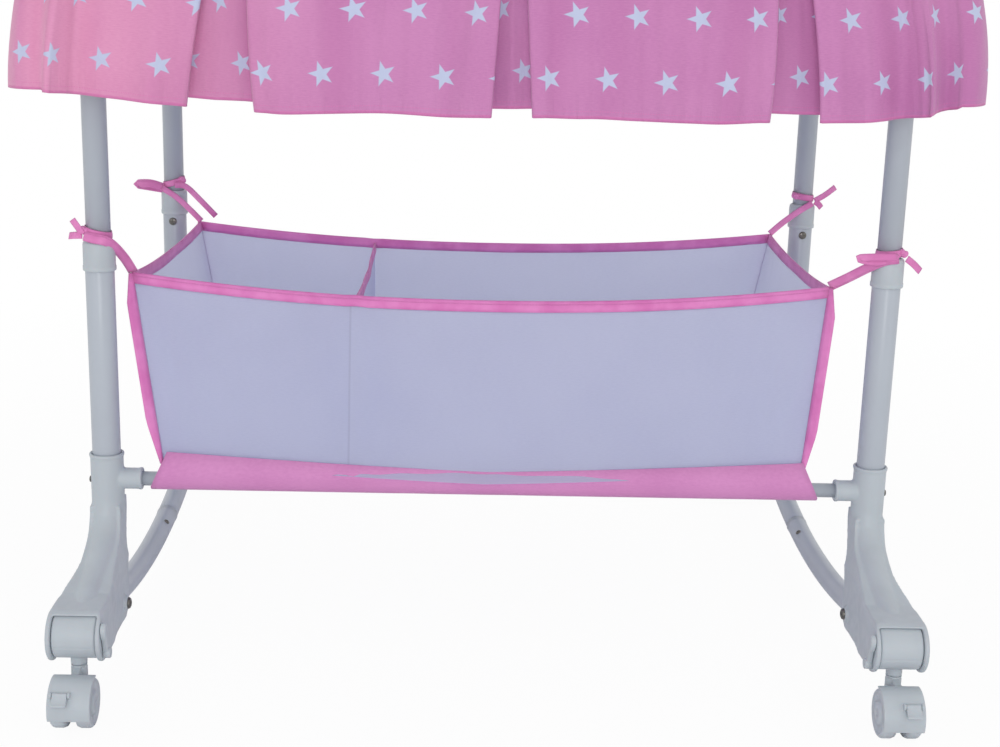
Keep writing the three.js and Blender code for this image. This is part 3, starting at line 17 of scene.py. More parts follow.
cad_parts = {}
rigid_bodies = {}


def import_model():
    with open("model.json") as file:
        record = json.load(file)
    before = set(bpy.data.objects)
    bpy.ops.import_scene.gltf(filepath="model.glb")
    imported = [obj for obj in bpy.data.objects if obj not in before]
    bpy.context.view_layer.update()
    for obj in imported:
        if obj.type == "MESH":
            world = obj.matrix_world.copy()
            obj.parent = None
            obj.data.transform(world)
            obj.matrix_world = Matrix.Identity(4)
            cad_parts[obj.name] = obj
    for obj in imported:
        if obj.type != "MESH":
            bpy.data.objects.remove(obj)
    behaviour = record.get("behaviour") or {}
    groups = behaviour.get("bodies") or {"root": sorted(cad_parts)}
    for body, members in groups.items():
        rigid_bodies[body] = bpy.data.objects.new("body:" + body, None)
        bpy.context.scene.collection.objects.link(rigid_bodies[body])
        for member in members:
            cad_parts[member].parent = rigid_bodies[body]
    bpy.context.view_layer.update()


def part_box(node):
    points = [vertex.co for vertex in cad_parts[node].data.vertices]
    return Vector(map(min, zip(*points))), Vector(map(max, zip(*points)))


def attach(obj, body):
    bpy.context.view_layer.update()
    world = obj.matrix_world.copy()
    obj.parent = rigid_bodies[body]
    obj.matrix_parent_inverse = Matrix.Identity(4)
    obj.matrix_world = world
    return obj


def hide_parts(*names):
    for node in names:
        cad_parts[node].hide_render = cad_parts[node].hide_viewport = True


LOG = logging.getLogger("cradle")
UP, ALONG, BACK = Vector((0, 0, 1)), Vector((1, 0, 0)), Vector((0, 1, 0))
Colour = tuple[float, float, float, float]
Face = tuple[int, ...]
Outline = Sequence[tuple[float, float]]
Body = bpy.types.Object
Finish = bpy.types.Material
Socket = bpy.types.NodeSocket


class Corner(Enum):
    """The four corners of the stand: label, sign along the bed, sign from front to rear."""

    FRONT_LEFT = ("front_left", -1, -1)
    FRONT_RIGHT = ("front_right", 1, -1)
    REAR_LEFT = ("rear_left", -1, 1)
    REAR_RIGHT = ("rear_right", 1, 1)

    @property
    def label(self) -> str:
        """Name of the corner, as the frame's nodes and bodies end."""
        return self.value[0]

    @property
    def signs(self) -> tuple[int, int]:
        """Signs of X and Y at this corner."""
        return self.value[1], self.value[2]

    def node(self, name: str) -> str:
        """Name of this corner's own node or body."""
        return f"{name}_{self.label}"


class Side(Enum):
    """A side of the bed, valued by its sign."""

    @property
    def label(self) -> str:
        """Name of the side, as the frame's nodes end."""
        return self.name.lower()


class End(Side):
    """The two ends of the bed."""

    LEFT = -1
    RIGHT = 1


class Depth(Side):
    """The two long sides of the bed."""

    FRONT = -1
    REAR = 1


def screen(red: float, green: float, blue: float) -> Colour:
    """Linear colour of a screen colour given from 0 to 255."""
    shares = [value / 255 for value in (red, green, blue)]
    return (*(s / 12.92 if s <= 0.04045 else ((s + 0.055) / 1.055) ** 2.4 for s in shares), 1.0)


def mm(*places: Sequence[float]) -> tuple[tuple[float, ...], ...]:
    """Places given in millimetres, in metres."""
    return tuple(tuple(part / 1000 for part in place) for place in places)


# Node painting


class Wiring:
    """Adds and joins the nodes of one tree."""

    def __init__(self, tree: bpy.types.NodeTree) -> None:
        """Empties the tree."""
        self.tree = tree
        tree.nodes.clear()

    def feed(self, socket: Socket, value: object) -> None:
        """Links a socket to another, or sets its plain value.

        Args:
            socket: the socket that gets it.
            value: another socket, or a plain value.
        """
        if isinstance(value, Socket):
            self.tree.links.new(value, socket)
        else:
            socket.default_value = value

    def node(self, kind: str, *values: object, **named: object) -> bpy.types.Node:
        """New node with its inputs fed.

        Args:
            kind: the node's type after ShaderNode.
            values: what its first inputs get, in their order.
            named: what its other inputs get, with underscores for spaces.

        Returns:
            The node.
        """
        node = self.tree.nodes.new(f"ShaderNode{kind}")
        for socket, value in zip(node.inputs, values):
            self.feed(socket, value)
        for name, value in named.items():
            self.feed(node.inputs[name.replace("_", " ")], value)
        return node


class Painter(Wiring):
    """Builds the nodes of one material, all worked out from the surface itself."""

    def __init__(self, name: str) -> None:
        """Starts an empty material with a Principled shader.

        Args:
            name: name of the material.
        """
        self.material = bpy.data.materials.new(name)
        self.material.use_nodes = True
        super().__init__(self.material.node_tree)
        self.shader = self.node("BsdfPrincipled")
        self.output = self.node("OutputMaterial", Surface=self.shader.outputs["BSDF"])
        coordinates = self.node("TexCoord")
        self.place, self.cloth = coordinates.outputs["Object"], coordinates.outputs["UV"]

    def scaled(self, vector: Socket, scale: Sequence[float]) -> Socket:
        """A place with its axes stretched."""
        return self.node("Mapping", vector, Scale=scale).outputs["Vector"]

    def split(self, vector: Socket) -> tuple[Socket, Socket]:
        """First two parts of a place."""
        node = self.node("SeparateXYZ", vector)
        return node.outputs[0], node.outputs[1]

    def math(self, operation: str, *values: object) -> Socket:
        """Result of one sum on sockets or numbers.

        Args:
            operation: Blender's name of the sum.
            values: its sockets or numbers.

        Returns:
            The result.
        """
        node = self.node("Math", *values)
        node.operation = operation
        return node.outputs[0]

    def ramp(self, value: object, low: float, high: float, start: float = 0, end: float = 1) -> Socket:
        """A value eased from one range to another, held at the ends.

        Args:
            value: the value.
            low: where it starts to change.
            high: where it stops.
            start: result before that.
            end: result after that.

        Returns:
            The eased value.
        """
        node = self.node("MapRange", value, low, high, start, end)
        node.interpolation_type = "SMOOTHSTEP"
        return node.outputs[0]

    def noise(self, vector: Socket, scale: float, detail: float = 2) -> Socket:
        """Soft noise from 0 to 1."""
        return self.node("TexNoise", vector, Scale=scale, Detail=detail).outputs[0]

    def waves(self, value: Socket, pitch: float) -> Socket:
        """Even waves from -1 to 1 along one part of a place."""
        return self.math("SINE", self.math("MULTIPLY", value, 2 * math.pi / pitch))

    def line(self, value: Socket, place: float, half_width: float, core: float) -> Socket:
        """1 on a line at a place along a value, and 0 beyond half of its width."""
        off_line = self.math("ABSOLUTE", self.math("SUBTRACT", value, place))
        return self.ramp(off_line, half_width, core)

    def stitches(self, along: Socket, across: Socket, place: float, pitch: float) -> tuple[Socket, Socket]:
        """A seam's line, and its dashes of thread."""
        line = self.line(across, place, 0.0006, 0.0002)
        return line, self.math("MULTIPLY", line, self.ramp(self.waves(along, pitch), -0.2, 0.2))

    def blend(self, factor: object, first: object, second: object) -> Socket:
        """Mix of two colours.

        Args:
            factor: share of the second colour.
            first: first colour.
            second: second colour.

        Returns:
            The mixed colour.
        """
        node = self.node("Mix")
        node.data_type = "RGBA"
        colours = [socket for socket in node.inputs if socket.type == "RGBA"]
        for socket, value in ((node.inputs[0], factor), (colours[0], first), (colours[1], second)):
            self.feed(socket, value)
        return next(socket for socket in node.outputs if socket.type == "RGBA")

    def bump(self, height: object, depth: float, normal: object = None) -> Socket:
        """Surface normal raised by a height from 0 to 1 times a depth in metres.

        Args:
            height: height, from 0 to 1.
            depth: depth in metres.
            normal: normal to start from, or None.

        Returns:
            The raised normal.
        """
        node = self.node("Bump", Height=height, Distance=depth)
        if normal is not None:
            self.feed(node.inputs["Normal"], normal)
        return node.outputs["Normal"]

    def let_through(self, colour: object, normal: object, share: float) -> None:
        """Lets a share of the light through thin cloth.

        Args:
            colour: colour of the light that passes.
            normal: surface normal.
            share: share that passes.
        """
        through = self.node("BsdfTranslucent", Color=colour, Normal=normal)
        mixed = self.node("MixShader", share, self.shader.outputs["BSDF"], through.outputs["BSDF"])
        self.feed(self.output.inputs["Surface"], mixed.outputs[0])

    def finish(self, colour: object, roughness: object, normal: object, **numbers: float) -> Finish:
        """Sets the shader and gives the material.

        Args:
            colour: base colour, a socket or a plain colour.
            roughness: roughness, a socket or a number.
            normal: surface normal socket.
            numbers: plain values of other sockets, with underscores for spaces.

        Returns:
            The finished material.
        """
        inputs = {"Base Color": colour, "Roughness": roughness, "Normal": normal}
        inputs |= {name.replace("_", " "): number for name, number in numbers.items()}
        for name, value in inputs.items():
            self.feed(self.shader.inputs[name], value)
        return self.material


# Finishes


@dataclass(frozen=True)
class PowderCoat:
    """White powder paint on steel tube, with a fine orange peel."""

    name: str = "powder_coat"
    light: Colour = screen(183, 190, 200)
    shade: Colour = screen(179, 186, 196)
    peel_scale: float = 700
    peel_depth: float = 0.00003
    drift_scale: float = 7
    handled_scale: float = 42
    roughness: tuple[float, float] = (0.3, 0.36)
    coat: tuple[float, float] = (0.25, 0.2)

    def material(self) -> Finish:
        """Node material of the paint.

        Returns:
            The material.
        """
        painter = Painter(self.name)
        drift = painter.noise(painter.place, self.drift_scale, 3)
        handled = painter.noise(painter.place, self.handled_scale, 4)
        colour = painter.blend(painter.ramp(drift, 0.35, 0.68), self.light, self.shade)
        roughness = painter.ramp(handled, 0.3, 0.7, *self.roughness)
        peel = painter.bump(painter.noise(painter.place, self.peel_scale, 1), self.peel_depth)
        weight, coat_roughness = self.coat
        return painter.finish(colour, roughness, peel, Coat_Weight=weight, Coat_Roughness=coat_roughness)


@dataclass(frozen=True)
class Moulding:
    """Injection moulded plastic with a fine spark grain and faint flow marks."""

    name: str = "white_moulding"
    light: Colour = screen(190, 198, 205)
    shade: Colour = screen(185, 193, 200)
    grain_scale: float = 1800
    grain_depth: float = 0.00002
    flow_scale: float = 26
    flow_depth: float = 0.0001
    roughness: tuple[float, float] = (0.34, 0.5)
    glow: tuple[float, float] = (0.06, 0.004)

    def material(self) -> Finish:
        """Node material of the plastic.

        Returns:
            The material.
        """
        painter = Painter(self.name)
        flow = painter.noise(painter.scaled(painter.place, (1, 1, 0.35)), self.flow_scale, 4)
        colour = painter.blend(painter.ramp(flow, 0.35, 0.7), self.light, self.shade)
        handled = painter.noise(painter.place, self.flow_scale * 4, 3)
        roughness = painter.ramp(handled, 0.3, 0.7, *self.roughness)
        grain = painter.bump(painter.noise(painter.place, self.grain_scale, 2), self.grain_depth)
        dents = painter.bump(flow, self.flow_depth, grain)
        weight, scale = self.glow
        return painter.finish(colour, roughness, dents, Subsurface_Weight=weight, Subsurface_Scale=scale)


@dataclass(frozen=True)
class BrightSteel:
    """Zinc plated steel of the screws."""

    name: str = "bright_steel"
    colour: Colour = screen(118, 116, 112)
    scratch_scale: float = 900
    scratch_depth: float = 0.00004
    roughness: tuple[float, float] = (0.22, 0.42)

    def material(self) -> Finish:
        """Node material of the screws.

        Returns:
            The material.
        """
        painter = Painter(self.name)
        marks = painter.noise(painter.scaled(painter.place, (1, 1, 0.2)), self.scratch_scale, 3)
        roughness = painter.ramp(marks, 0.25, 0.75, *self.roughness)
        return painter.finish(self.colour, roughness, painter.bump(marks, self.scratch_depth), Metallic=1.0)


@dataclass(frozen=True)
class Weave:
    """Woven cloth: its thread pitch, how deep the threads show and how soft its surface is."""

    pitch: float = 0.0009
    depth: float = 0.00006
    crease_scale: float = 15
    crease_depth: float = 0.002
    roughness: float = 0.82
    sheen: float = 0.25
    sheen_roughness: float = 0.4
    slub_scale: tuple[float, float, float] = (180, 900, 1)
    patch_scale: float = 9

    def normal(self, painter: Painter) -> Socket:
        """Surface normal of the threads and of soft creases.

        Args:
            painter: the material's painter.

        Returns:
            The normal.
        """
        warp, weft = (painter.waves(part, self.pitch) for part in painter.split(painter.cloth))
        threads = painter.bump(painter.math("MULTIPLY", warp, weft), self.depth)
        creases = painter.noise(painter.scaled(painter.place, (1, 1, 0.45)), self.crease_scale, 3)
        return painter.bump(creases, self.crease_depth, threads)

    def fleck(self, painter: Painter, first: Colour, second: Colour) -> Socket:
        """Colour that drifts a little between two tones, thread by thread and over wide patches.

        Args:
            painter: the material's painter.
            first: first tone.
            second: second tone.

        Returns:
            The colour.
        """
        slubs = painter.noise(painter.scaled(painter.cloth, self.slub_scale), 1, 2)
        patches = painter.noise(painter.place, self.patch_scale, 2)
        parts = (painter.math("MULTIPLY", *part) for part in ((slubs, 0.5), (patches, 0.6)))
        share = painter.math("ADD", *parts)
        return painter.blend(painter.ramp(share, 0.35, 0.8), first, second)

    def finish(self, painter: Painter, colour: Socket, normal: Socket) -> Finish:
        """The cloth's material, with its soft sheen.

        Args:
            painter: the material's painter.
            colour: colour of the cloth.
            normal: its surface normal.

        Returns:
            The material.
        """
        return painter.finish(
            colour, self.roughness, normal, Sheen_Weight=self.sheen, Sheen_Roughness=self.sheen_roughness
        )


@dataclass(frozen=True)
class PlainCloth:
    """Cloth of one colour in two near tones, which may let light through and show a seam darkened by painted
    shade.
    """

    name: str
    light: Colour
    shade: Colour
    weave: Weave = Weave()
    sheer: float = 0
    seam: float = 0
    seam_width: float = 0.0016
    # Share and colour of the painted shade laid along the seam.
    seam_tone: float = 0.12
    seam_colour: Colour = (0.1, 0.1, 0.2, 1)

    def material(self) -> Finish:
        """Node material of the cloth.

        Returns:
            The material.
        """
        painter = Painter(self.name)
        colour, normal = self.weave.fleck(painter, self.light, self.shade), self.weave.normal(painter)
        # Painted shade: a dark line along the seam, where its crease would be shaded.
        if self.seam:
            along = painter.split(painter.place)[0]
            line = painter.line(along, self.seam, self.seam_width, self.seam_width / 3)
            colour = painter.blend(painter.math("MULTIPLY", line, self.seam_tone), colour, self.seam_colour)
        if self.sheer:
            painter.let_through(colour, normal, self.sheer)
        return self.weave.finish(painter, colour, normal)


@dataclass(frozen=True)
class StarPrint:
    """Pink cotton printed with rows of pale five-pointed stars, and its narrow turned hem."""

    name: str = "star_print"
    # Each pair holds a left tone and a right tone; the right tones are darker, painted light and shade across
    # the skirt.
    light: tuple[Colour, Colour] = (screen(236, 163, 200), screen(213, 142, 194))
    shade: tuple[Colour, Colour] = (screen(226, 147, 189), screen(200, 126, 183))
    # Span along X over which the painted light fades from the lighter left tones to the darker right tones.
    fade: tuple[float, float] = (-0.45, -0.1)
    star: Colour = screen(199, 207, 236)
    # Darker pink and its largest share, laid along the drape's folds as painted shade.
    deep: Colour = screen(186, 104, 164)
    drape_scale: tuple[float, float, float] = (17, 1.6, 1)
    drape_tone: float = 0.4
    drape_depth: float = 0.022
    hem_tone: Colour = screen(226, 118, 184)
    column_pitch: float = 0.059
    row_pitch: float = 0.0615
    lowest_row: float = 0.0385
    tip_radius: float = 0.0128
    waist_share: float = 0.4
    print_edge: float = 0.0005
    lean: float = 0.314
    lean_spread: float = 0.14
    first_column: float = -0.0085
    hem_height: float = 0.0034
    stitch_place: float = 0.0074
    stitch_pitch: float = 0.0026
    pucker_scale: tuple[float, float, float] = (150, 12, 1)
    pucker_depth: float = 0.0012
    weave: Weave = Weave(pitch=0.0008, crease_scale=13, crease_depth=0.0028)

    def star_share(self, painter: Painter) -> Socket:
        """Share of star ink at each place on the flat cloth, from 0 to 1.

        Args:
            painter: the material's painter.

        Returns:
            The share.
        """
        do = painter.math
        across, along = painter.split(painter.cloth)
        height = do("ADD", along, self.row_pitch / 2 - self.lowest_row)
        row_share = do("DIVIDE", height, self.row_pitch)
        row = do("FLOOR", row_share)
        odd = do("FLOORED_MODULO", do("ADD", row, 1), 2)
        shift = do("ADD", do("MULTIPLY", odd, 0.5), self.first_column / self.column_pitch)
        column_share = do("ADD", do("DIVIDE", across, self.column_pitch), shift)
        cell = painter.node("CombineXYZ", do("FLOOR", column_share), row).outputs[0]
        random = painter.node("TexWhiteNoise", Vector=cell)
        random.noise_dimensions = "2D"
        spread = do("MULTIPLY", do("SUBTRACT", random.outputs["Value"], 0.5), self.lean_spread)
        x, y = (
            do("MULTIPLY", do("SUBTRACT", do("FRACT", share), 0.5), pitch)
            for share, pitch in ((column_share, self.column_pitch), (row_share, self.row_pitch))
        )
        return self.star_shape(painter, x, y, do("ADD", spread, self.lean))

    def star_shape(self, painter: Painter, x: Socket, y: Socket, turn: Socket) -> Socket:
        """Share of ink of one star about its own middle.

        Args:
            painter: the material's painter.
            x: place across, from the star's middle.
            y: place up, from the star's middle.
            turn: the star's lean in radians.

        Returns:
            1 inside the star and 0 outside it.
        """
        do = painter.math
        fifth = 2 * math.pi / 5
        radius = do("SQRT", do("ADD", do("MULTIPLY", x, x), do("MULTIPLY", y, y)))
        angle = do("ADD", do("ARCTAN2", x, y), turn)
        sector = do("SUBTRACT", do("FLOORED_MODULO", do("ADD", angle, fifth / 2), fifth), fifth / 2)
        off_tip = do("ABSOLUTE", sector)
        tip_way = do("MULTIPLY", radius, do("COSINE", off_tip))
        side_way = do("MULTIPLY", radius, do("SINE", off_tip))
        waist = self.tip_radius * self.waist_share
        edge = Vector((waist * math.cos(fifth / 2) - self.tip_radius, waist * math.sin(fifth / 2)))
        first = do("MULTIPLY", side_way, edge.x / edge.length)
        second = do("MULTIPLY", do("SUBTRACT", tip_way, self.tip_radius), edge.y / edge.length)
        return painter.ramp(do("SUBTRACT", first, second), -self.print_edge, self.print_edge)

    def material(self) -> Finish:
        """Node material of the printed cotton, with painted light from left to right and painted shade in its
        folds.

        Returns:
            The material.
        """
        painter = Painter(self.name)
        across, along = painter.split(painter.cloth)
        # Painted light: lighter tones on the left, fading to darker tones on the right.
        tones = [self.weave.fleck(painter, *pair) for pair in zip(self.light, self.shade)]
        colour = painter.blend(painter.ramp(painter.split(painter.place)[0], *self.fade), *tones)
        drape = painter.noise(painter.scaled(painter.cloth, self.drape_scale), 1, 2)
        # Painted shade: the drape's folds are darkened towards the deep pink.
        colour = painter.blend(painter.ramp(drape, 0.45, 0.75, 0, self.drape_tone), colour, self.deep)
        colour = painter.blend(self.star_share(painter), colour, self.star)
        in_hem = painter.ramp(along, self.hem_height, self.hem_height - 0.0006, 0, 0.55)
        colour = painter.blend(in_hem, colour, self.hem_tone)
        _, thread = painter.stitches(across, along, self.stitch_place, self.stitch_pitch)
        colour = painter.blend(painter.math("MULTIPLY", thread, 0.6), colour, self.hem_tone)
        gathers = painter.noise(painter.scaled(painter.cloth, self.pucker_scale), 1, 2)
        puckers = painter.math("MULTIPLY", painter.ramp(along, 0.03, 0.004), gathers)
        hanging = painter.bump(drape, self.drape_depth, self.weave.normal(painter))
        return self.weave.finish(painter, colour, painter.bump(puckers, self.pucker_depth, hanging))


@dataclass(frozen=True)
class Binding:
    """Pink bias binding with cross ribs, and a row of stitches along one edge."""

    name: str = "pink_binding"
    light: Colour = screen(240, 144, 210)
    shade: Colour = screen(228, 124, 195)
    rib_pitch: float = 0.0012
    rib_depth: float = 0.00008
    stitch_place: float = 0.0085
    stitch_pitch: float = 0.003
    stitch_depth: float = 0.0004
    pucker_depth: float = 0.0008
    weave: Weave = Weave(roughness=0.68, sheen=0.3, sheen_roughness=0.35)

    def material(self) -> Finish:
        """Node material of the binding.

        Returns:
            The material.
        """
        painter = Painter(self.name)
        along, across = painter.split(painter.cloth)
        tone = painter.noise(painter.place, 40, 3)
        ground = painter.blend(painter.ramp(tone, 0.3, 0.7), self.light, self.shade)
        line, thread = painter.stitches(along, across, self.stitch_place, self.stitch_pitch)
        colour = painter.blend(painter.math("MULTIPLY", thread, 0.5), ground, self.shade)
        ribs = painter.bump(painter.waves(along, self.rib_pitch), self.rib_depth)
        sunk = painter.bump(painter.math("SUBTRACT", 1, line), self.stitch_depth, ribs)
        gathers = painter.noise(painter.scaled(painter.cloth, (160, 40, 1)), 1, 2)
        return self.weave.finish(painter, colour, painter.bump(gathers, self.pucker_depth, sunk))


@dataclass(frozen=True)
class Hardboard:
    """Pressed fibre board under the mattress."""

    name: str = "hardboard"
    light: Colour = screen(190, 160, 122)
    shade: Colour = screen(160, 128, 92)
    fibre_scale: float = 240
    fibre_depth: float = 0.0003
    roughness: tuple[float, float] = (0.6, 0.85)

    def material(self) -> Finish:
        """Node material of the board.

        Returns:
            The material.
        """
        painter = Painter(self.name)
        fibres = painter.noise(painter.scaled(painter.place, (1, 0.35, 1)), self.fibre_scale, 5)
        colour = painter.blend(painter.ramp(fibres, 0.3, 0.7), self.light, self.shade)
        roughness = painter.ramp(fibres, 0.2, 0.8, *self.roughness)
        return painter.finish(colour, roughness, painter.bump(fibres, self.fibre_depth))


class Finishes:
    """Every material of the cradle, made once."""

    def __init__(self) -> None:
        """Makes the materials."""
        smooth = Weave(0.0007, 0.00004, crease_scale=10, crease_depth=0.006, roughness=0.7, sheen=0.15)
        soft = Weave(0.001, 0.0001, crease_scale=20, crease_depth=0.0015, roughness=0.9, sheen=0.35)
        matt = (0.42, 0.6)
        wheel = Moulding("wheel_plastic", screen(196, 203, 211), screen(182, 189, 197), roughness=matt)
        white = (screen(221, 225, 247), screen(215, 219, 243))
        # The basket cloth lets light through and has painted shade along the divider's seam.
        basket = PlainCloth("basket_cloth", *white, smooth, sheer=0.5, seam=-0.154)
        band = PlainCloth("band_cloth", screen(222, 148, 204), screen(211, 134, 193), smooth)
        ribbon = Binding("tie_ribbon", screen(238, 146, 206), screen(224, 126, 190))
        liner = PlainCloth("liner_cotton", screen(232, 233, 243), screen(220, 222, 236), soft)
        ticking = PlainCloth("mattress_cotton", screen(238, 238, 244), screen(228, 229, 238), soft)
        self.paint = PowderCoat().material()
        self.moulding = Moulding().material()
        self.wheel = wheel.material()
        self.steel = BrightSteel().material()
        self.stars = StarPrint().material()
        self.binding = Binding().material()
        self.basket = basket.material()
        self.band = band.material()
        self.ribbon = ribbon.material()
        self.liner = liner.material()
        self.ticking = ticking.material()
        self.board = Hardboard().material()


# Mesh making


def linked(name: str, mesh: bpy.types.Mesh) -> Body:
    """New object of a mesh, smooth and in the scene.

    Args:
        name: object and mesh name.
        mesh: its mesh.

    Returns:
        The object.
    """
    mesh.name = name
    mesh.polygons.foreach_set("use_smooth", [True] * len(mesh.polygons))
    obj = bpy.data.objects.new(name, mesh)
    bpy.context.scene.collection.objects.link(obj)
    return obj


def quads(width: int, rows: int, closed: bool) -> list[Face]:
    """Faces of a net of points, row by row, each row closed on itself or open.

    Args:
        width: points in a row.
        rows: number of rows.
        closed: whether each row joins up with its own start.

    Returns:
        Numbers of each face's points.
    """
    faces = []
    for low in range(0, (rows - 1) * width, width):
        for column in range(width if closed else width - 1):
            after = (column + 1) % width
            faces.append((low + column, low + after, low + width + after, low + width + column))
    return faces


def grid(
    name: str,
    rows: Sequence[Sequence[Vector]],
    closed: bool = False,
    flat: Sequence[Outline] = (),
    extra: Sequence[Face] = (),
) -> Body:
    """Sheet through rows of points.

    Args:
        name: object name.
        rows: rows of points, each as long as the first.
        closed: whether each row joins up with its own start.
        flat: place on the flat cloth of each point, with one more per row where rows are closed.
        extra: faces beside those of the sheet.

    Returns:
        The sheet.
    """
    mesh = bpy.data.meshes.new(name)
    faces = quads(len(rows[0]), len(rows), closed)
    mesh.from_pydata([tuple(point) for row in rows for point in row], [], [*faces, *extra])
    if flat:
        places = []
        for low, high in zip(flat, flat[1:]):
            for column in range(len(low) - 1):
                places += [*low[column], *low[column + 1], *high[column + 1], *high[column]]
        mesh.uv_layers.new(name="cloth").data.foreach_set("uv", places)
    return linked(name, mesh)


def lengths_along(line: Sequence[Vector]) -> list[float]:
    """Length from a line's start to each of its points.

    Args:
        line: points of the line.

    Returns:
        One length for each point.
    """
    lengths = [0.0]
    for before, after in zip(line, line[1:]):
        lengths.append(lengths[-1] + (after - before).length)
    return lengths


def flat_places(widest: Sequence[Vector], closed: bool, heights: Sequence[float]) -> list[Outline]:
    """Places on the flat cloth: measured along its widest row, and at the given heights.

    Args:
        widest: the row that gives the lengths.
        closed: whether it joins up with its own start.
        heights: height on the cloth of each row.

    Returns:
        One row of places for each height.
    """
    lengths = lengths_along([*widest, widest[0]] if closed else widest)
    return [[(length, height) for length in lengths] for height in heights]


def lofted(name: str, rings: Sequence[Sequence[Vector]], caps: bool = True) -> Body:
    """Closed body through closed rings of points, with a cap at each end.

    Args:
        name: object name.
        rings: rings of points, each as long as the first.
        caps: whether its ends are closed.

    Returns:
        The body.
    """
    width = len(rings[0])
    last = (len(rings) - 1) * width
    ends = (tuple(reversed(range(width))), tuple(range(last, last + width)))
    return grid(name, rings, True, extra=ends if caps else ())


def arc(centre: Sequence[float], radius: float, start: float, end: float, steps: int) -> list:
    """Points of an arc, with its angles in degrees."""
    turns = [math.radians(start + (end - start) * step / steps) for step in range(steps + 1)]
    return [(centre[0] + radius * math.cos(turn), centre[1] + radius * math.sin(turn)) for turn in turns]


def circle(radius: float, sides: int = 40) -> Outline:
    """Points of a circle."""
    return arc((0, 0), radius, 0, 360, sides)[:-1]


def swept(name: str, path: Sequence[Vector], section: Outline, side: Vector) -> Body:
    """Closed body of a section carried along a path.

    Args:
        name: object name.
        path: points of the path.
        section: outline, first number along the side direction and second square to it.
        side: direction square to the path's plane, which stays fixed.

    Returns:
        The body.
    """
    rings = []
    for index, point in enumerate(path):
        along = (path[min(index + 1, len(path) - 1)] - path[max(index - 1, 0)]).normalized()
        across = (side - along * side.dot(along)).normalized()
        square = along.cross(across)
        rings.append([point + across * a + square * b for a, b in section])
    return lofted(name, rings)


def weld(obj: Body, distance: float = 0.00001) -> Body:
    """Joins points that meet, drops what that leaves without area and turns the faces outward.

    Args:
        obj: the body.
        distance: how near two points meet.

    Returns:
        The same object.
    """
    body = bmesh.new()
    body.from_mesh(obj.data)
    bmesh.ops.remove_doubles(body, verts=body.verts, dist=distance)
    bmesh.ops.dissolve_degenerate(body, edges=body.edges, dist=distance / 10)
    bmesh.ops.recalc_face_normals(body, faces=body.faces)
    body.to_mesh(obj.data)
    body.free()
    return obj


def standing(place: Vector, axis: Vector) -> Matrix:
    """Frame at a place with its Z along an axis."""
    return Matrix.Translation(place) @ UP.rotation_difference(axis).to_matrix().to_4x4()


def post(name: str, profile: Outline, place: Vector, axis: Vector = UP, sides: int = 48) -> Body:
    """Body turned from a closed profile of radius and height, which stands at a place along an axis.

    Args:
        name: object name.
        profile: closed profile of radius and height.
        place: where its axis starts.
        axis: way along which heights run.
        sides: number of sides.

    Returns:
        The body.
    """
    frame = standing(place, axis)
    turns = [2 * math.pi * side / sides for side in (*range(sides), 0)]
    ways = [(math.cos(turn), math.sin(turn)) for turn in turns]
    rings = [[frame @ Vector((r * cosine, r * sine, h)) for r, h in profile] for cosine, sine in ways]
    return weld(lofted(name, rings, False))


def prism(name: str, outline: Outline, start: float, end: float, axis: str = "X") -> Body:
    """Prism of an outline: Y and Z for axis X, X and Z for axis Y, X and Y for axis Z.

    Args:
        name: object name.
        outline: outline, in the two directions square to the axis.
        start: one end along the axis.
        end: the other end.
        axis: name of the axis.

    Returns:
        The body.
    """
    order = {"X": (2, 0, 1), "Y": (0, 2, 1), "Z": (0, 1, 2)}[axis]
    rings = [[Vector([(a, b, at)[part] for part in order]) for a, b in outline] for at in (start, end)]
    return weld(lofted(name, rings), 0.000001)


def settled(obj: Body) -> Body:
    """Applies the object's modifiers.

    Args:
        obj: object with modifiers.

    Returns:
        The same object.
    """
    graph = bpy.context.evaluated_depsgraph_get()
    mesh = bpy.data.meshes.new_from_object(obj.evaluated_get(graph))
    mesh.name = obj.name
    obj.modifiers.clear()
    obj.data = mesh
    return obj


def changed(obj: Body, kind: str, settings: dict[str, object]) -> Body:
    """Adds a modifier with its settings, and leaves it in place.

    Args:
        obj: the object.
        kind: Blender's kind of modifier.
        settings: values of the modifier's settings.

    Returns:
        The same object.
    """
    modifier = obj.modifiers.new(kind.lower(), kind)
    for name, value in settings.items():
        setattr(modifier, name, value)
    return obj


def shaded(obj: Body, angle: float = 180) -> Body:
    """Shades a body smooth, but for edges sharper than an angle.

    Args:
        obj: the body.
        angle: sharpness in degrees, where 180 leaves no edge sharp.

    Returns:
        The same object.
    """
    obj.data.polygons.foreach_set("use_smooth", [True] * len(obj.data.polygons))
    if angle < 180:
        obj.data.set_sharp_from_angle(angle=math.radians(angle))
    return obj


def bevelled(obj: Body, width: float, segments: int, angle: float) -> Body:
    """Adds a modifier that rounds the edges sharper than an angle."""
    limit = {"limit_method": "ANGLE", "angle_limit": math.radians(angle)}
    return changed(obj, "BEVEL", {"width": width, "segments": segments, **limit})


def rounded(obj: Body, width: float, segments: int, angle: float) -> Body:
    """Rounds the edges of a body that are sharper than an angle, and shades it."""
    return shaded(settled(bevelled(obj, width, segments, angle)), 50)


def combined(base: Body, other: Body, operation: str) -> Body:
    """Joins, cuts or crosses two closed bodies.

    Args:
        base: body that stays.
        other: body that is used up.
        operation: UNION, DIFFERENCE or INTERSECT.

    Returns:
        The first body with its new mesh.
    """
    settled(changed(base, "BOOLEAN", {"operation": operation, "solver": "EXACT", "object": other}))
    bpy.data.objects.remove(other)
    return base


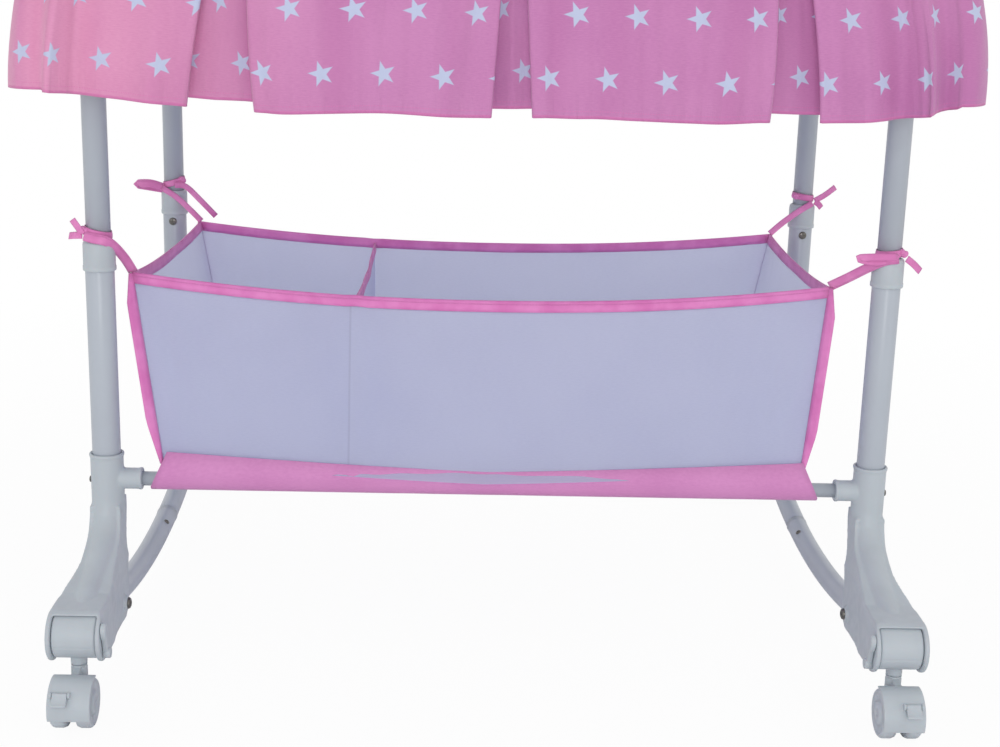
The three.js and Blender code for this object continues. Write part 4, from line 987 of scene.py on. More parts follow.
def moulded(obj: Body, voxel: float, passes: int, share: float) -> Body:
    """Melts a body of rough solids into one moulding with soft edges.

    Args:
        obj: closed body that may hold thin steps.
        voxel: size of the new faces.
        passes: how often the surface is smoothed.
        share: share of the faces kept at the end.

    Returns:
        The same object with its new mesh.
    """
    changed(obj, "REMESH", {"mode": "VOXEL", "voxel_size": voxel})
    changed(obj, "SMOOTH", {"factor": 0.5, "iterations": passes})
    return shaded(settled(changed(obj, "DECIMATE", {"ratio": share})))


def rounded_outline(
    half_x: float, half_y: float, radius: float, steps: int, corner_steps: int
) -> list[Vector]:
    """Points round a rounded rectangle, anticlockwise from its +X end.

    Args:
        half_x: half of its length.
        half_y: half of its width.
        radius: radius of its corners.
        steps: steps of each straight side.
        corner_steps: steps of each corner.

    Returns:
        The points, at height 0.
    """
    signs = ((1, 1), (-1, 1), (-1, -1), (1, -1))

    def corner_point(quarter: int, share: float) -> Vector:
        """Point of one corner's arc.

        Args:
            quarter: number of the corner.
            share: share of its arc.

        Returns:
            The point.
        """
        sign_x, sign_y = signs[quarter % 4]
        turn = math.radians(90 * (quarter + share))
        centre = Vector((sign_x * (half_x - radius), sign_y * (half_y - radius), 0))
        return centre + Vector((math.cos(turn), math.sin(turn), 0)) * radius

    points = []
    for quarter in range(4):
        points += [corner_point(quarter, step / corner_steps) for step in range(corner_steps + 1)]
        begin, goal = points[-1], corner_point(quarter + 1, 0)
        points += [begin.lerp(goal, step / steps) for step in range(1, steps)]
    return points


def outline_normals(outline: Sequence[Vector]) -> list[Vector]:
    """Ways outward of the points of an anticlockwise outline.

    Args:
        outline: points of the outline.

    Returns:
        One way for each point.
    """
    normals = []
    for index in range(len(outline)):
        along = outline[(index + 1) % len(outline)] - outline[index - 1]
        normals.append(Vector((along.y, -along.x, 0)).normalized())
    return normals


def wobble(point: Vector, scale: float, seed: float) -> float:
    """Smooth noise from about -1 to 1 at a point."""
    return noise.noise(point * scale + Vector((seed, 2 * seed, 3 * seed)))


def smooth_path(points: Sequence[Vector], steps: int = 5) -> list[Vector]:
    """Smooth curve through points, with the given steps between each two.

    Args:
        points: points that it passes through.
        steps: steps between two points.

    Returns:
        Points of the curve.
    """
    ends = [points[0] * 2 - points[1], *points, points[-1] * 2 - points[-2]]
    path = []
    for before, start, end, after in zip(ends, ends[1:], ends[2:], ends[3:]):
        for step in range(steps):
            t = step / steps
            square = 2 * before - 5 * start + 4 * end - after
            cube = 3 * start - before - 3 * end + after
            path.append(0.5 * (2 * start + (end - before) * t + square * t * t + cube * t * t * t))
    return [*path, points[-1].copy()]


def eased(keys: Outline) -> list[tuple[float, float]]:
    """Smooth outline through key points."""
    return [tuple(point) for point in smooth_path([Vector(key) for key in keys])]


def dress(obj: Body, material: Finish, body: str, nodes: Sequence[str] = ()) -> Body:
    """Gives a piece its material, its body and what it stands for.

    Args:
        obj: the piece, in place in the frame.
        material: its finish.
        body: the frame's body it rides on.
        nodes: names of the frame's nodes that it replaces.

    Returns:
        The piece.
    """
    obj.data.materials.clear()
    obj.data.materials.append(material)
    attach(obj, body)
    if nodes:
        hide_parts(*nodes)
    LOG.info("%s on %s", obj.name, body)
    return obj


def thickened(obj: Body, thickness: float) -> Body:
    """Gives a sheet its thickness as a modifier."""
    return changed(obj, "SOLIDIFY", {"thickness": thickness, "offset": 0})


def merged(name: str, parts: Sequence[Body]) -> Body:
    """One object of several, their own meshes taken in.

    Args:
        name: object name.
        parts: the bodies, which are used up.

    Returns:
        The new object.
    """
    body = bmesh.new()
    for part in parts:
        body.from_mesh(part.data)
        bpy.data.objects.remove(part)
    mesh = bpy.data.meshes.new(name)
    body.to_mesh(mesh)
    body.free()
    return linked(name, mesh)


def rod(radius: float, bottom: float, top: float) -> Outline:
    """Profile of a plain cylinder."""
    return [(0, bottom), (radius, bottom), (radius, top), (0, top)]


def tube_profile(inner: float, outer: float, bottom: float, top: float, edge: float = 0.0007) -> Outline:
    """Profile of a tube, its outer edges eased.

    Args:
        inner: inner radius.
        outer: outer radius.
        bottom: height of its lower end.
        top: height of its upper end.
        edge: how far each outer edge is eased.

    Returns:
        The closed profile.
    """
    eased_by = edge * 0.3
    low = [(outer - edge, bottom), (outer - eased_by, bottom + eased_by), (outer, bottom + edge)]
    high = [(outer, top - edge), (outer - eased_by, top - eased_by), (outer - edge, top)]
    return [(inner, bottom), *low, *high, (inner, top)]


def aslant(local: Outline, pivot: Sequence[float], degrees: float) -> Outline:
    """Outline turned by an angle and set at a pivot.

    Args:
        local: outline along and across its own axis.
        pivot: where its own origin goes.
        degrees: angle of its axis in degrees.

    Returns:
        The outline in place.
    """
    angle = math.radians(degrees)
    along = Vector((math.cos(angle), math.sin(angle)))
    side = Vector((-math.sin(angle), math.cos(angle)))
    return [tuple(Vector(pivot) + along * reach + side * across) for reach, across in local]


# Stand


@dataclass
class Stand:
    """Where the legs stand, read from the frame, and the curve of the rockers."""

    leg: Vector = field(init=False)
    seat: float = field(init=False)
    joint: float = field(init=False)
    rocker_arc: float = 1.1
    rocker_low: float = 0.046

    def __post_init__(self) -> None:
        """Reads the right rear leg."""
        low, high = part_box("leg_tube_rear_right")
        middle = (low + high) / 2
        self.leg = Vector((middle.x, middle.y, 0))
        self.seat, self.joint = low.z, high.z

    def at(self, corner: Corner) -> Vector:
        """Centre of one leg on the floor."""
        sign_x, sign_y = corner.signs
        return Vector((sign_x * self.leg.x, sign_y * self.leg.y, 0))

    def rocker_height(self, place: float) -> float:
        """Height of a rocker's centre line at a place from front to rear."""
        return self.rocker_low + self.rocker_arc - math.sqrt(self.rocker_arc**2 - place**2)


@dataclass
class Maker:
    """Makes one group of pieces."""

    finishes: Finishes
    stand: Stand

    def at_corners(
        self, part: Body, name: str, body: str = "", finish: Finish | None = None, slot: str = ""
    ) -> None:
        """Sets copies of a body at the four corners and drops the body.

        Args:
            part: body with X outboard, Y outward and Z up from its leg's centre on the floor.
            name: name of the nodes that the copies stand for, without the corner.
            body: name of the bodies that they ride on, without the corner, or empty for the stand.
            finish: their finish, or None for the white moulding.
            slot: not used.
        """
        for corner in Corner:
            sign_x, sign_y = corner.signs
            node = corner.node(name)
            mesh = part.data.copy()
            mesh.transform(Matrix.Diagonal((sign_x, sign_y, 1, 1)) @ Matrix.Translation(self.stand.leg))
            if sign_x * sign_y < 0:
                mesh.flip_normals()
            rides = corner.node(body) if body else "stand"
            piece = linked(f"look_{node}", mesh)
            dress(piece, finish or self.finishes.moulding, rides, (node,))
        bpy.data.objects.remove(part)


@dataclass
class Tubework(Maker):
    """Painted steel tubes: legs, end frames, rails, basket bars and rockers."""

    upper_radius: float = 0.0127
    lower_radius: float = 0.015
    lower_bore: float = 0.0131
    bend_radius: float = 0.042
    bend_steps: int = 14
    bar_radius: float = 0.00775
    rocker_steps: int = 30
    swage: float = 0.0006
    swage_length: float = 0.008

    def painted(self, obj: Body, node: str) -> None:
        """Paints a tube and lets it stand for its node."""
        dress(obj, self.finishes.paint, "stand", (node,))

    def end_frame(self, node: str) -> None:
        """Bent tube whose ends stand in the lower leg tubes.

        Args:
            node: the node that it stands for.
        """
        low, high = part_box(node)
        x, top = (low.x + high.x) / 2, high.z - (high.x - low.x) / 2
        line = [(-self.stand.leg.y, low.z)]
        for sign, start in ((-1, 180), (1, 90)):
            centre = (sign * (self.stand.leg.y - self.bend_radius), top - self.bend_radius)
            line += arc(centre, self.bend_radius, start, start - 90, self.bend_steps)
        line.append((self.stand.leg.y, low.z))
        path = [Vector((x, y, z)) for y, z in line]
        self.painted(swept(f"look_{node}", path, circle(self.upper_radius), ALONG), node)

    def straight(self, node: str, radius: float) -> None:
        """Straight tube along the bed in place of a node.

        Args:
            node: the node that it stands for.
            radius: radius of the tube.
        """
        low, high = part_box(node)
        middle = (low + high) / 2
        ends = [Vector((x, middle.y, middle.z)) for x in (low.x, low.x / 3, high.x / 3, high.x)]
        self.painted(swept(f"look_{node}", ends, circle(radius), BACK), node)

    def rocker(self, depth: Depth, end: End) -> None:
        """One length of a rocker, its end at the joint a little swaged.

        Args:
            depth: front or rear length.
            end: left or right rocker.
        """
        node, front = f"rocker_{depth.label}_{end.label}", depth is Depth.FRONT
        low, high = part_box(node)
        x, start, stop = (low.x + high.x) / 2, low.y, high.y
        if not front:
            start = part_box(f"rocker_front_{end.label}")[1].y + self.swage / 2
        section = circle(self.upper_radius)
        path, scales = [], []
        for step in range(self.rocker_steps + 1):
            place = start + (stop - start) * step / self.rocker_steps
            path.append(Vector((x, place, self.stand.rocker_height(place))))
            near = max(0.0, 1 - (stop - place if front else place - start) / self.swage_length)
            scales.append(1 + self.swage / self.upper_radius * near * (1 if front else -3))
        tube = swept(f"look_{node}", path, section, ALONG)
        for ring, (middle, scale) in enumerate(zip(path, scales)):
            for vertex in tube.data.vertices[ring * len(section) : (ring + 1) * len(section)]:
                vertex.co = middle + (vertex.co - middle) * scale
        self.painted(tube, node)

    def build(self) -> None:
        """Makes every tube."""
        for corner in Corner:
            profile = tube_profile(self.lower_bore, self.lower_radius, self.stand.seat, self.stand.joint)
            node = corner.node("leg_tube")
            self.painted(post(f"look_{node}", profile, self.stand.at(corner)), node)
        for end in End:
            self.end_frame(f"end_frame_{end.label}")
        for depth in Depth:
            self.straight(f"side_rail_{depth.label}", self.upper_radius)
            self.straight(f"basket_bar_{depth.label}", self.bar_radius)
            for end in End:
                self.rocker(depth, end)


# Moulded pieces and screws


@dataclass
class Joins(Maker):
    """Leg collars, and the frame's own corner connectors in their finish."""

    lower_bore: float = 0.0153
    lip: Outline = mm((16, 0), (16.9, 0.5), (17.2, 1.4), (17.2, 5), (16.7, 5.6))
    shoulder: Outline = mm((16.6, -4.2), (16.2, -2.2), (15.3, -0.8), (14, 0), (13, 0))
    step_gap: float = 0.0003
    soft_edge: float = 0.0008

    def build(self) -> None:
        """Makes the collars and dresses the connectors."""
        for corner in Corner:
            node = corner.node("leg_collar")
            low, high = (point.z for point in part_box(node))
            step = self.stand.joint + self.step_gap
            profile = [(self.lower_bore, low), *((radius, low + rise) for radius, rise in self.lip)]
            profile += [(radius, high + rise) for radius, rise in self.shoulder]
            profile += [(self.shoulder[-1][0], step), (self.lower_bore, step)]
            collar = post(f"look_{node}", profile, self.stand.at(corner), UP, 64)
            dress(shaded(collar, 60), self.finishes.moulding, "stand", (node,))
            connector = bpy.data.objects[corner.node("corner_connector")]
            bevelled(connector, self.soft_edge, 2, 50)
            connector.data.materials.clear()
            connector.data.materials.append(self.finishes.moulding)
            LOG.info("%s dressed", connector.name)


@dataclass
class Screws(Maker):
    """Small cross-head screws and the rockers' bolts."""

    radius: float = 0.0036
    height: float = 0.0019
    recess_depth: float = 0.0012
    dome: Outline = ((0, -1), (0.5, -1), (0.5, 0), (1, 0), (1, 0.35), (0.88, 0.72), (0.6, 0.95), (0, 1))
    arm: tuple[float, float] = (0.55, 0.11)
    leg_radius: float = 0.015
    below_collar: float = 0.0085
    collar_scale: float = 1.4
    socket: tuple[float, float] = (0.0175, 0.203)
    bolt_radius: float = 0.0062
    bolt_place: tuple[float, float, float] = (-0.0258, 0.037, 0.075)
    rocker_place: float = 0.06
    rocker_seat: float = 0.0125
    rocker_lean: float = 1.2

    def screw(self, name: str, place: Vector, axis: Vector, scale: float = 1) -> None:
        """Domed screw head with a cross recess.

        Args:
            name: name of the piece.
            place: centre of the head's underside.
            axis: way the head points.
            scale: size against the small screw.
        """
        radius, height = self.radius * scale, self.height * scale
        head = post(name, [(radius * out, height * rise) for out, rise in self.dome], Vector(), UP, 28)
        long, narrow = (radius * share for share in self.arm)
        for x, y in ((long, narrow), (narrow, long)):
            cross = [(-x, -y), (x, -y), (x, y), (-x, y)]
            slot = prism("slot", cross, height - self.recess_depth * scale, height * 2, "Z")
            head = combined(head, slot, "DIFFERENCE")
        head.data.transform(standing(place, axis))
        dress(shaded(head, 35), self.finishes.steel, "stand")

    def build(self) -> None:
        """Makes the screws of every corner and rocker."""
        radius, height = self.socket
        for corner in Corner:
            leg = self.stand.at(corner)
            sign_x, sign_y = corner.signs
            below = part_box(corner.node("leg_collar"))[0].z - self.below_collar
            inner = leg + Vector((0, -sign_y * self.leg_radius, below))
            self.screw(corner.node("collar_screw"), inner, BACK * -sign_y, self.collar_scale)
            outboard = leg + Vector((sign_x * radius, 0, height))
            self.screw(corner.node("socket_screw"), outboard, ALONG * sign_x)
            x, y, z = self.bolt_place
            inboard = leg + Vector((sign_x * x, sign_y * y, z))
            self.screw(corner.node("rocker_bolt"), inboard, -ALONG * sign_x, self.bolt_radius / self.radius)
        for end in End:
            place = self.rocker_place
            centre = Vector((end.value * self.stand.leg.x, place, self.stand.rocker_height(place)))
            axis = Vector((-end.value, 0, self.rocker_lean)).normalized()
            self.screw(f"rocker_screw_{end.label}", centre + axis * self.rocker_seat, axis)


@dataclass
class Foot(Maker):
    """Moulded feet: leg socket, bar socket, rocker boss and the fork of the folding caster.

    Their tables hold Y and Z for the side, X and Y for the plan, X and Z for the front, and radius and
    height for turned bodies.
    """

    heel: Outline = mm((-17, 181), (-16, 164.6), (1.5, 136.2), (12.7, 106.7), (13, 79.6), (15.5, 64.5))
    sole: Outline = mm((30, 56.3), (105, 58.4), (126, 61.2))
    ridge: Outline = mm((112.5, 119.7), (79.5, 130.3), (34.5, 150.4), (19.8, 170), (18, 181))
    nose: tuple[float, float] = (-84, 96)
    plan_outer: Outline = mm(
        (17.2, -40), (17.2, 50), (18, 66), (21.4, 84), (24.8, 102), (26.5, 122), (27, 145), (27, 190)
    )
    plan_inner: Outline = mm((-22.2, -40), (-22.2, 60), (-23.4, 85), (-25.8, 108), (-27, 135), (-27, 190))
    front_inner: Outline = mm(
        (-27, 40), (-27, 102), (-25, 113), (-20.4, 128), (-18, 145), (-16.2, 165), (-15.2, 190)
    )
    front_outer: Outline = mm((27, 190), (27, 40))
    rib: Outline = mm((0.4, 192), (2.2, 176), (8.5, 157.5), (28.5, 136.5), (72, 115), (106, 104), (127, 99))
    socket: Outline = mm((0, 158), (17.5, 158), (17.5, 229.8), (18.6, 230.6), (18.6, 234), (0, 234))
    bar_socket: Outline = mm((0, 0), (11.5, 0), (11.5, 35), (12.3, 35.2), (12.3, 38), (0, 38))
    bolt_boss: Outline = mm((0, 0), (8.5, 0), (8.5, 24.8), (7.5, 25.8), (0, 25.8))
    bolt_place: tuple[float, float] = (0.037, 0.075)
    half_width: float = 0.027
    rib_radius: float = 0.0167
    block_inset: float = 0.0008
    plate_drop: float = 0.0045
    block_drop: float = 0.012
    ridge_slope: float = 0.6
    plate_edge: float = 0.003
    hinge: tuple[float, float] = (0.150, 0.088)
    cheek_radius: float = 0.0265
    slot_radius: float = 0.024
    slot_half_width: float = 0.0221
    socket_bore: float = 0.0153
    bar_height: float = 0.2045
    bar_bore: float = 0.0081
    bar_bore_ends: tuple[float, float] = (0.019, 0.05)
    rocker_boss: float = 0.0171
    rocker_bore: float = 0.0131
    boss_ends: tuple[float, float] = (0.0105, 0.040)
    bore_ends: tuple[float, float] = (0.0, 0.0375)
    carrier_neck: float = 0.009
    mouth_slope: float = 0.0125
    clearance: float = 0.004
    above: float = 0.25
    voxel: float = 0.00105
    passes: int = 9
    kept_share: float = 0.3

    def outline(self, drop: float) -> Outline:
        """Side outline: heel, sole, nose and a ridge that lies lower than the rib's.

        Args:
            drop: how far the ridge lies below the rib's.

        Returns:
            The closed outline in Y and Z.
        """
        nose = arc(self.hinge, self.cheek_radius, *self.nose, 26)
        lowered = [(out - drop * self.ridge_slope, height - drop) for out, height in self.ridge]
        return [*eased(self.heel), *self.sole, *nose, *eased(lowered)]

    def rocker_path(self, start: float, end: float) -> list[Vector]:
        """Rocker's centre line as the foot sees it."""
        places = [start + (end - start) * step / 6 for step in range(7)]
        return [Vector((0, out, self.stand.rocker_height(out + self.stand.leg.y))) for out in places]

    def body(self) -> Body:
        """Foot in its corner's own axes, without its openings.

        Returns:
            The foot before it is cut open.
        """
        plan = [*eased(self.plan_outer), *reversed(eased(self.plan_inner))]
        front = [*eased(self.front_inner), *self.front_outer]
        foot = prism("foot", self.outline(self.plate_drop), -self.half_width, self.half_width)
        foot = combined(foot, prism("plan", plan, 0, self.above, "Z"), "INTERSECT")
        foot = combined(foot, prism("front", front, -0.1, self.above, "Y"), "INTERSECT")
        rounded(foot, self.plate_edge, 3, 40)
        block = self.rib_radius - self.block_inset
        rib = [Vector((0, out, height)) for out, height in eased(self.rib)]
        boss = circle(self.rocker_boss)
        added = (
            prism("block", self.outline(self.block_drop), -block, block),
            swept("rib", rib, circle(self.rib_radius), ALONG),
            post("socket", self.socket, Vector(), UP, 64),
            post("bar_socket", self.bar_socket, Vector((0, 0, self.bar_height)), -ALONG),
            swept("boss", self.rocker_path(*self.boss_ends), boss, ALONG),
            post("bolt_boss", self.bolt_boss, Vector((0, *self.bolt_place)), -ALONG),
        )
        for part in added:
            foot = combined(foot, part, "UNION")
        return foot

    def cut_open(self, foot: Body) -> Body:
        """Cuts the bores, the fork's slot and the mouth in which the carrier's neck swings.

        Args:
            foot: the foot.

        Returns:
            The foot with its openings.
        """
        slot, neck = self.slot_half_width, self.carrier_neck
        out, height = self.hinge
        near, far, top = out - neck, out + self.cheek_radius + self.clearance, height + neck
        high = height + self.cheek_radius + self.clearance
        mouth = [(near, 0.04), (far, 0.04), (far, top), (out + self.mouth_slope, high), (out, height)]
        mouth.append((near, height))
        bar_place = Vector((0, 0, self.bar_height))
        openings = (
            post("bore", rod(self.socket_bore, self.stand.seat, self.above), Vector()),
            post("bar_bore", rod(self.bar_bore, *self.bar_bore_ends), bar_place, -ALONG),
            swept("rocker_bore", self.rocker_path(*self.bore_ends), circle(self.rocker_bore), ALONG),
            post("slot", rod(self.slot_radius, 0, 2 * slot), Vector((-slot, *self.hinge)), ALONG, 72),
            prism("mouth", mouth, -slot, slot),
        )
        for opening in openings:
            foot = combined(foot, opening, "DIFFERENCE")
        return foot

    def build(self) -> None:
        """Makes the four feet."""
        foot = moulded(self.cut_open(self.body()), self.voxel, self.passes, self.kept_share)
        self.at_corners(foot, "foot")


@dataclass
class Fold(Maker):
    """Barrel that folds the caster away, and the lever that locks it."""

    hinge: tuple[float, float] = (0.150, 0.088)
    radius: float = 0.0235
    half_width: float = 0.02175
    edge: float = 0.0018
    neck: Outline = mm((0, 57), (7.6, 57), (8.2, 57.6), (8.2, 78), (0, 78))
    trunnion_radius: float = 0.004
    trunnion_reach: float = 0.0266
    groove: float = 0.0007
    groove_turns: tuple[float, float] = (-14, 66)
    groove_half: float = 1.6
    lever_place: float = -0.02735
    lever_width: float = 0.0054
    lever_edge: float = 0.0012
    lever_pivot: tuple[float, float] = (0.160, 0.073)
    lever_angle: float = 76
    lever_root: Outline = mm((0, -3.6), (17.1, -3.6), (22.1, -6.4))
    tab: tuple[float, float] = (0.0281, 0.0064)
    lever_boss: Outline = mm((0, 0), (5.5, 0), (5.5, 6.8), (4.9, 7.4), (3.5, 7.6), (2.6, 7), (0, 7))

    def barrel(self) -> Body:
        """Barrel with its grooves, trunnions and neck.

        Returns:
            The barrel in its corner's own axes.
        """
        place = Vector((0, *self.hinge))
        profile = tube_profile(0, self.radius, -self.half_width, self.half_width, self.edge)
        body = post("barrel", profile, place, ALONG, 80)
        pins = rod(self.trunnion_radius, -self.trunnion_reach, self.trunnion_reach)
        body = combined(body, post("pins", pins, place, ALONG, 28), "UNION")
        body = combined(body, post("neck", self.neck, Vector((0, self.hinge[0], 0))), "UNION")
        for turn in self.groove_turns:
            start, end = turn - self.groove_half, turn + self.groove_half
            outline = arc(self.hinge, self.radius + 0.002, start, end, 4)
            outline += arc(self.hinge, self.radius - self.groove, end, start, 4)
            reach = self.half_width + 0.001
            body = combined(body, prism("groove", outline, -reach, reach), "DIFFERENCE")
        return body

    def lever(self) -> Body:
        """Lock lever with its rounded tab and pivot boss.

        Returns:
            The lever in its corner's own axes.
        """
        reach, radius = self.tab
        far_side = [(along, -across) for along, across in reversed(self.lever_root)]
        local = [*self.lever_root, *arc((reach, 0), radius, -90, 90, 12), *far_side]
        outline = aslant(local, self.lever_pivot, self.lever_angle)
        arm = prism("lever", outline, self.lever_place - self.lever_width, self.lever_place)
        boss = post("boss", self.lever_boss, Vector((self.lever_place, *self.lever_pivot)), -ALONG, 32)
        return merged("lever", [rounded(arm, self.lever_edge, 3, 40), boss])

    def build(self) -> None:
        """Makes the four barrels and levers."""
        self.at_corners(moulded(self.barrel(), 0.0008, 3, 0.3), "caster_carrier", "carrier")
        self.at_corners(self.lever(), "fold_lock", "lock")


@dataclass
class Casters(Maker):
    """Twin-wheel casters with their hoods and brake pedals."""

    axle: tuple[float, float] = (0.174, 0.025)
    swivel_out: float = 0.150
    wheel: Outline = mm(
        (4.2, 5), (21, 5), (23.8, 5.9), (25, 9), (25, 16.9), (24.4, 18.6), (23, 20.1), (20.8, 20.6),
        (20.3, 19.4), (12.5, 18.2), (11.8, 20.4), (9.5, 21.1), (3.2, 21.4), (2.8, 20.7), (0, 20.7),
    )
    hood_inner: float = 0.0263
    hood_wall: float = 0.0019
    hood_half_width: float = 0.0212
    hood_turns: tuple[float, float] = (-18, 102)
    web: Outline = mm(
        (141.8, 30), (168, 18.5), (180, 18.5), (181.5, 50.8), (163, 53.5), (156, 56), (141.8, 56)
    )
    web_half_width: float = 0.0036
    boss: Outline = mm(
        (0, 30), (8.2, 30), (8.2, 53.5), (7.3, 54.1), (7.3, 54.9), (8.2, 55.5), (8.2, 56.7), (0, 56.7)
    )
    pin: tuple[float, float, float] = (0.005, 0.0527, 0.083)
    ear_radius: float = 0.0034
    ear_root: float = 0.0006
    ear_gap: float = 0.0004
    ear_width: float = 0.0024
    pedal_offset: float = 0.008
    pedal_half_width: float = 0.0074
    pedal_root: float = 0.0024
    pedal_plate: Outline = mm(
        (3, -1.3), (9.8, -1.3), (12.8, -0.4), (12.8, 1.3), (11.4, 2.1), (10, 1.3), (2.5, 1.3)
    )
    pedal_angle: float = -45
    pedal_pivot: tuple[float, float] = (0.0246, 0.019)

    def wheels(self) -> Body:
        """Both wheels and their axle."""
        profile = [*((radius, -place) for radius, place in reversed(self.wheel)), *self.wheel]
        return post("wheels", profile, Vector((0, *self.axle)), ALONG, 72)

    def hood(self) -> Body:
        """Arched hood with its web, boss, pin and pedal ears.

        Returns:
            The hood in its corner's own axes.
        """
        front, back = self.hood_turns
        arch = arc(self.axle, self.hood_inner + self.hood_wall, front, back, 40)
        arch += arc(self.axle, self.hood_inner, back, front, 40)
        shell = rounded(prism("hood", arch, -self.hood_half_width, self.hood_half_width), 0.0007, 2, 50)
        swivel = Vector((0, self.swivel_out, 0))
        space = post("space", rod(self.hood_inner, -0.04, 0.04), Vector((0, *self.axle)), ALONG, 72)
        added = [
            prism("web", self.web, -self.web_half_width, self.web_half_width),
            combined(post("boss", self.boss, swivel, UP, 40), space, "DIFFERENCE"),
            post("pin", rod(*self.pin), swivel, UP, 28),
        ]
        pivot = Vector(self.axle) + Vector(self.pedal_pivot)
        rise = math.degrees(math.atan2(self.pedal_pivot[1], self.pedal_pivot[0]))
        ear = arc(pivot, self.ear_radius, rise - 75, rise + 75, 8)
        ear += arc(self.axle, self.hood_inner + self.ear_root, rise + 7, rise - 7, 1)
        for sign in (-1, 1):
            near = self.pedal_offset + sign * (self.pedal_half_width + self.ear_gap)
            added.append(prism("ear", ear, *sorted((near, near + sign * self.ear_width))))
        for part in added:
            shell = combined(shell, part, "UNION")
        return shell

    def pedal(self) -> Body:
        """Brake pedal: a plate with a rounded root and a pressed ledge.

        Returns:
            The pedal in its corner's own axes.
        """
        local = [*arc((0, 0), self.pedal_root, 90, 270, 8), *self.pedal_plate]
        outline = aslant(local, Vector(self.axle) + Vector(self.pedal_pivot), self.pedal_angle)
        left, right = (self.pedal_offset + sign * self.pedal_half_width for sign in (-1, 1))
        return rounded(prism("pedal", outline, left, right), 0.0005, 2, 35)

    def build(self) -> None:
        """Makes the four casters."""
        self.at_corners(self.wheels(), "caster_wheels", "wheels", self.finishes.wheel, "wheel_plastic")
        self.at_corners(moulded(self.hood(), 0.0006, 3, 0.16), "caster_hood", "caster")
        self.at_corners(self.pedal(), "brake_pedal", "pedal")


# Soft pieces


def raised(outline: Sequence[Vector], height: float, out: float = 0) -> list[Vector]:
    """Outline at a height, moved outward by a distance.

    Args:
        outline: the outline, anticlockwise.
        height: height of the copy.
        out: distance outward.

    Returns:
        Points of the copy.
    """
    ways = outline_normals(outline)
    return [Vector((point.x, point.y, height)) + way * out for point, way in zip(outline, ways)]


def cord(
    name: str, outline: Sequence[Vector], centre: Sequence[float], radii: Sequence[float], sides: int,
    pitch: float,
) -> Body:
    """Thin closed cord of cloth round an outline.

    Args:
        name: object name.
        outline: the outline, anticlockwise.
        centre: how far the cord's middle lies outward from it, and its height.
        radii: half sizes of the cord outward and upward.
        sides: sides of its section.
        pitch: width of each side on the flat cloth.

    Returns:
        The cord.
    """
    rows = []
    for step in range(sides + 1):
        turn = 2 * math.pi * step / sides
        out, rise = radii[0] * math.cos(turn), radii[1] * math.sin(turn)
        rows.append(raised(outline, centre[1] + rise, centre[0] + out))
    heights = [step * pitch for step in range(sides + 1)]
    return weld(grid(name, rows, True, flat_places(rows[0], True, heights)))


@dataclass(frozen=True)
class Pleat:
    """An inverted box pleat: its middle along the side and half of its width at the hem."""

    centre: float
    half_width: float


@dataclass(frozen=True)
class Crease:
    """A hanging fold of the skirt's front: where it is, half of its width and how far it swings out."""

    centre: float
    half_width: float
    depth: float

    def at(self, place: float) -> float:
        """How far the cloth swings out at a place along the front."""
        return self.depth * math.exp(-(((place - self.centre) / self.half_width) ** 2))


@dataclass(frozen=True)
class Fall:
    """Point of a pleat's left half: how far left of its middle, how far in and its share of the recess.

    The place left is a share of the half width, metres and a share of the tuck. The depth is metres and a
    share of the pleat's depth.
    """

    wide: float
    beyond: float
    tucked: float
    inward: float
    deep: float
    recess: float


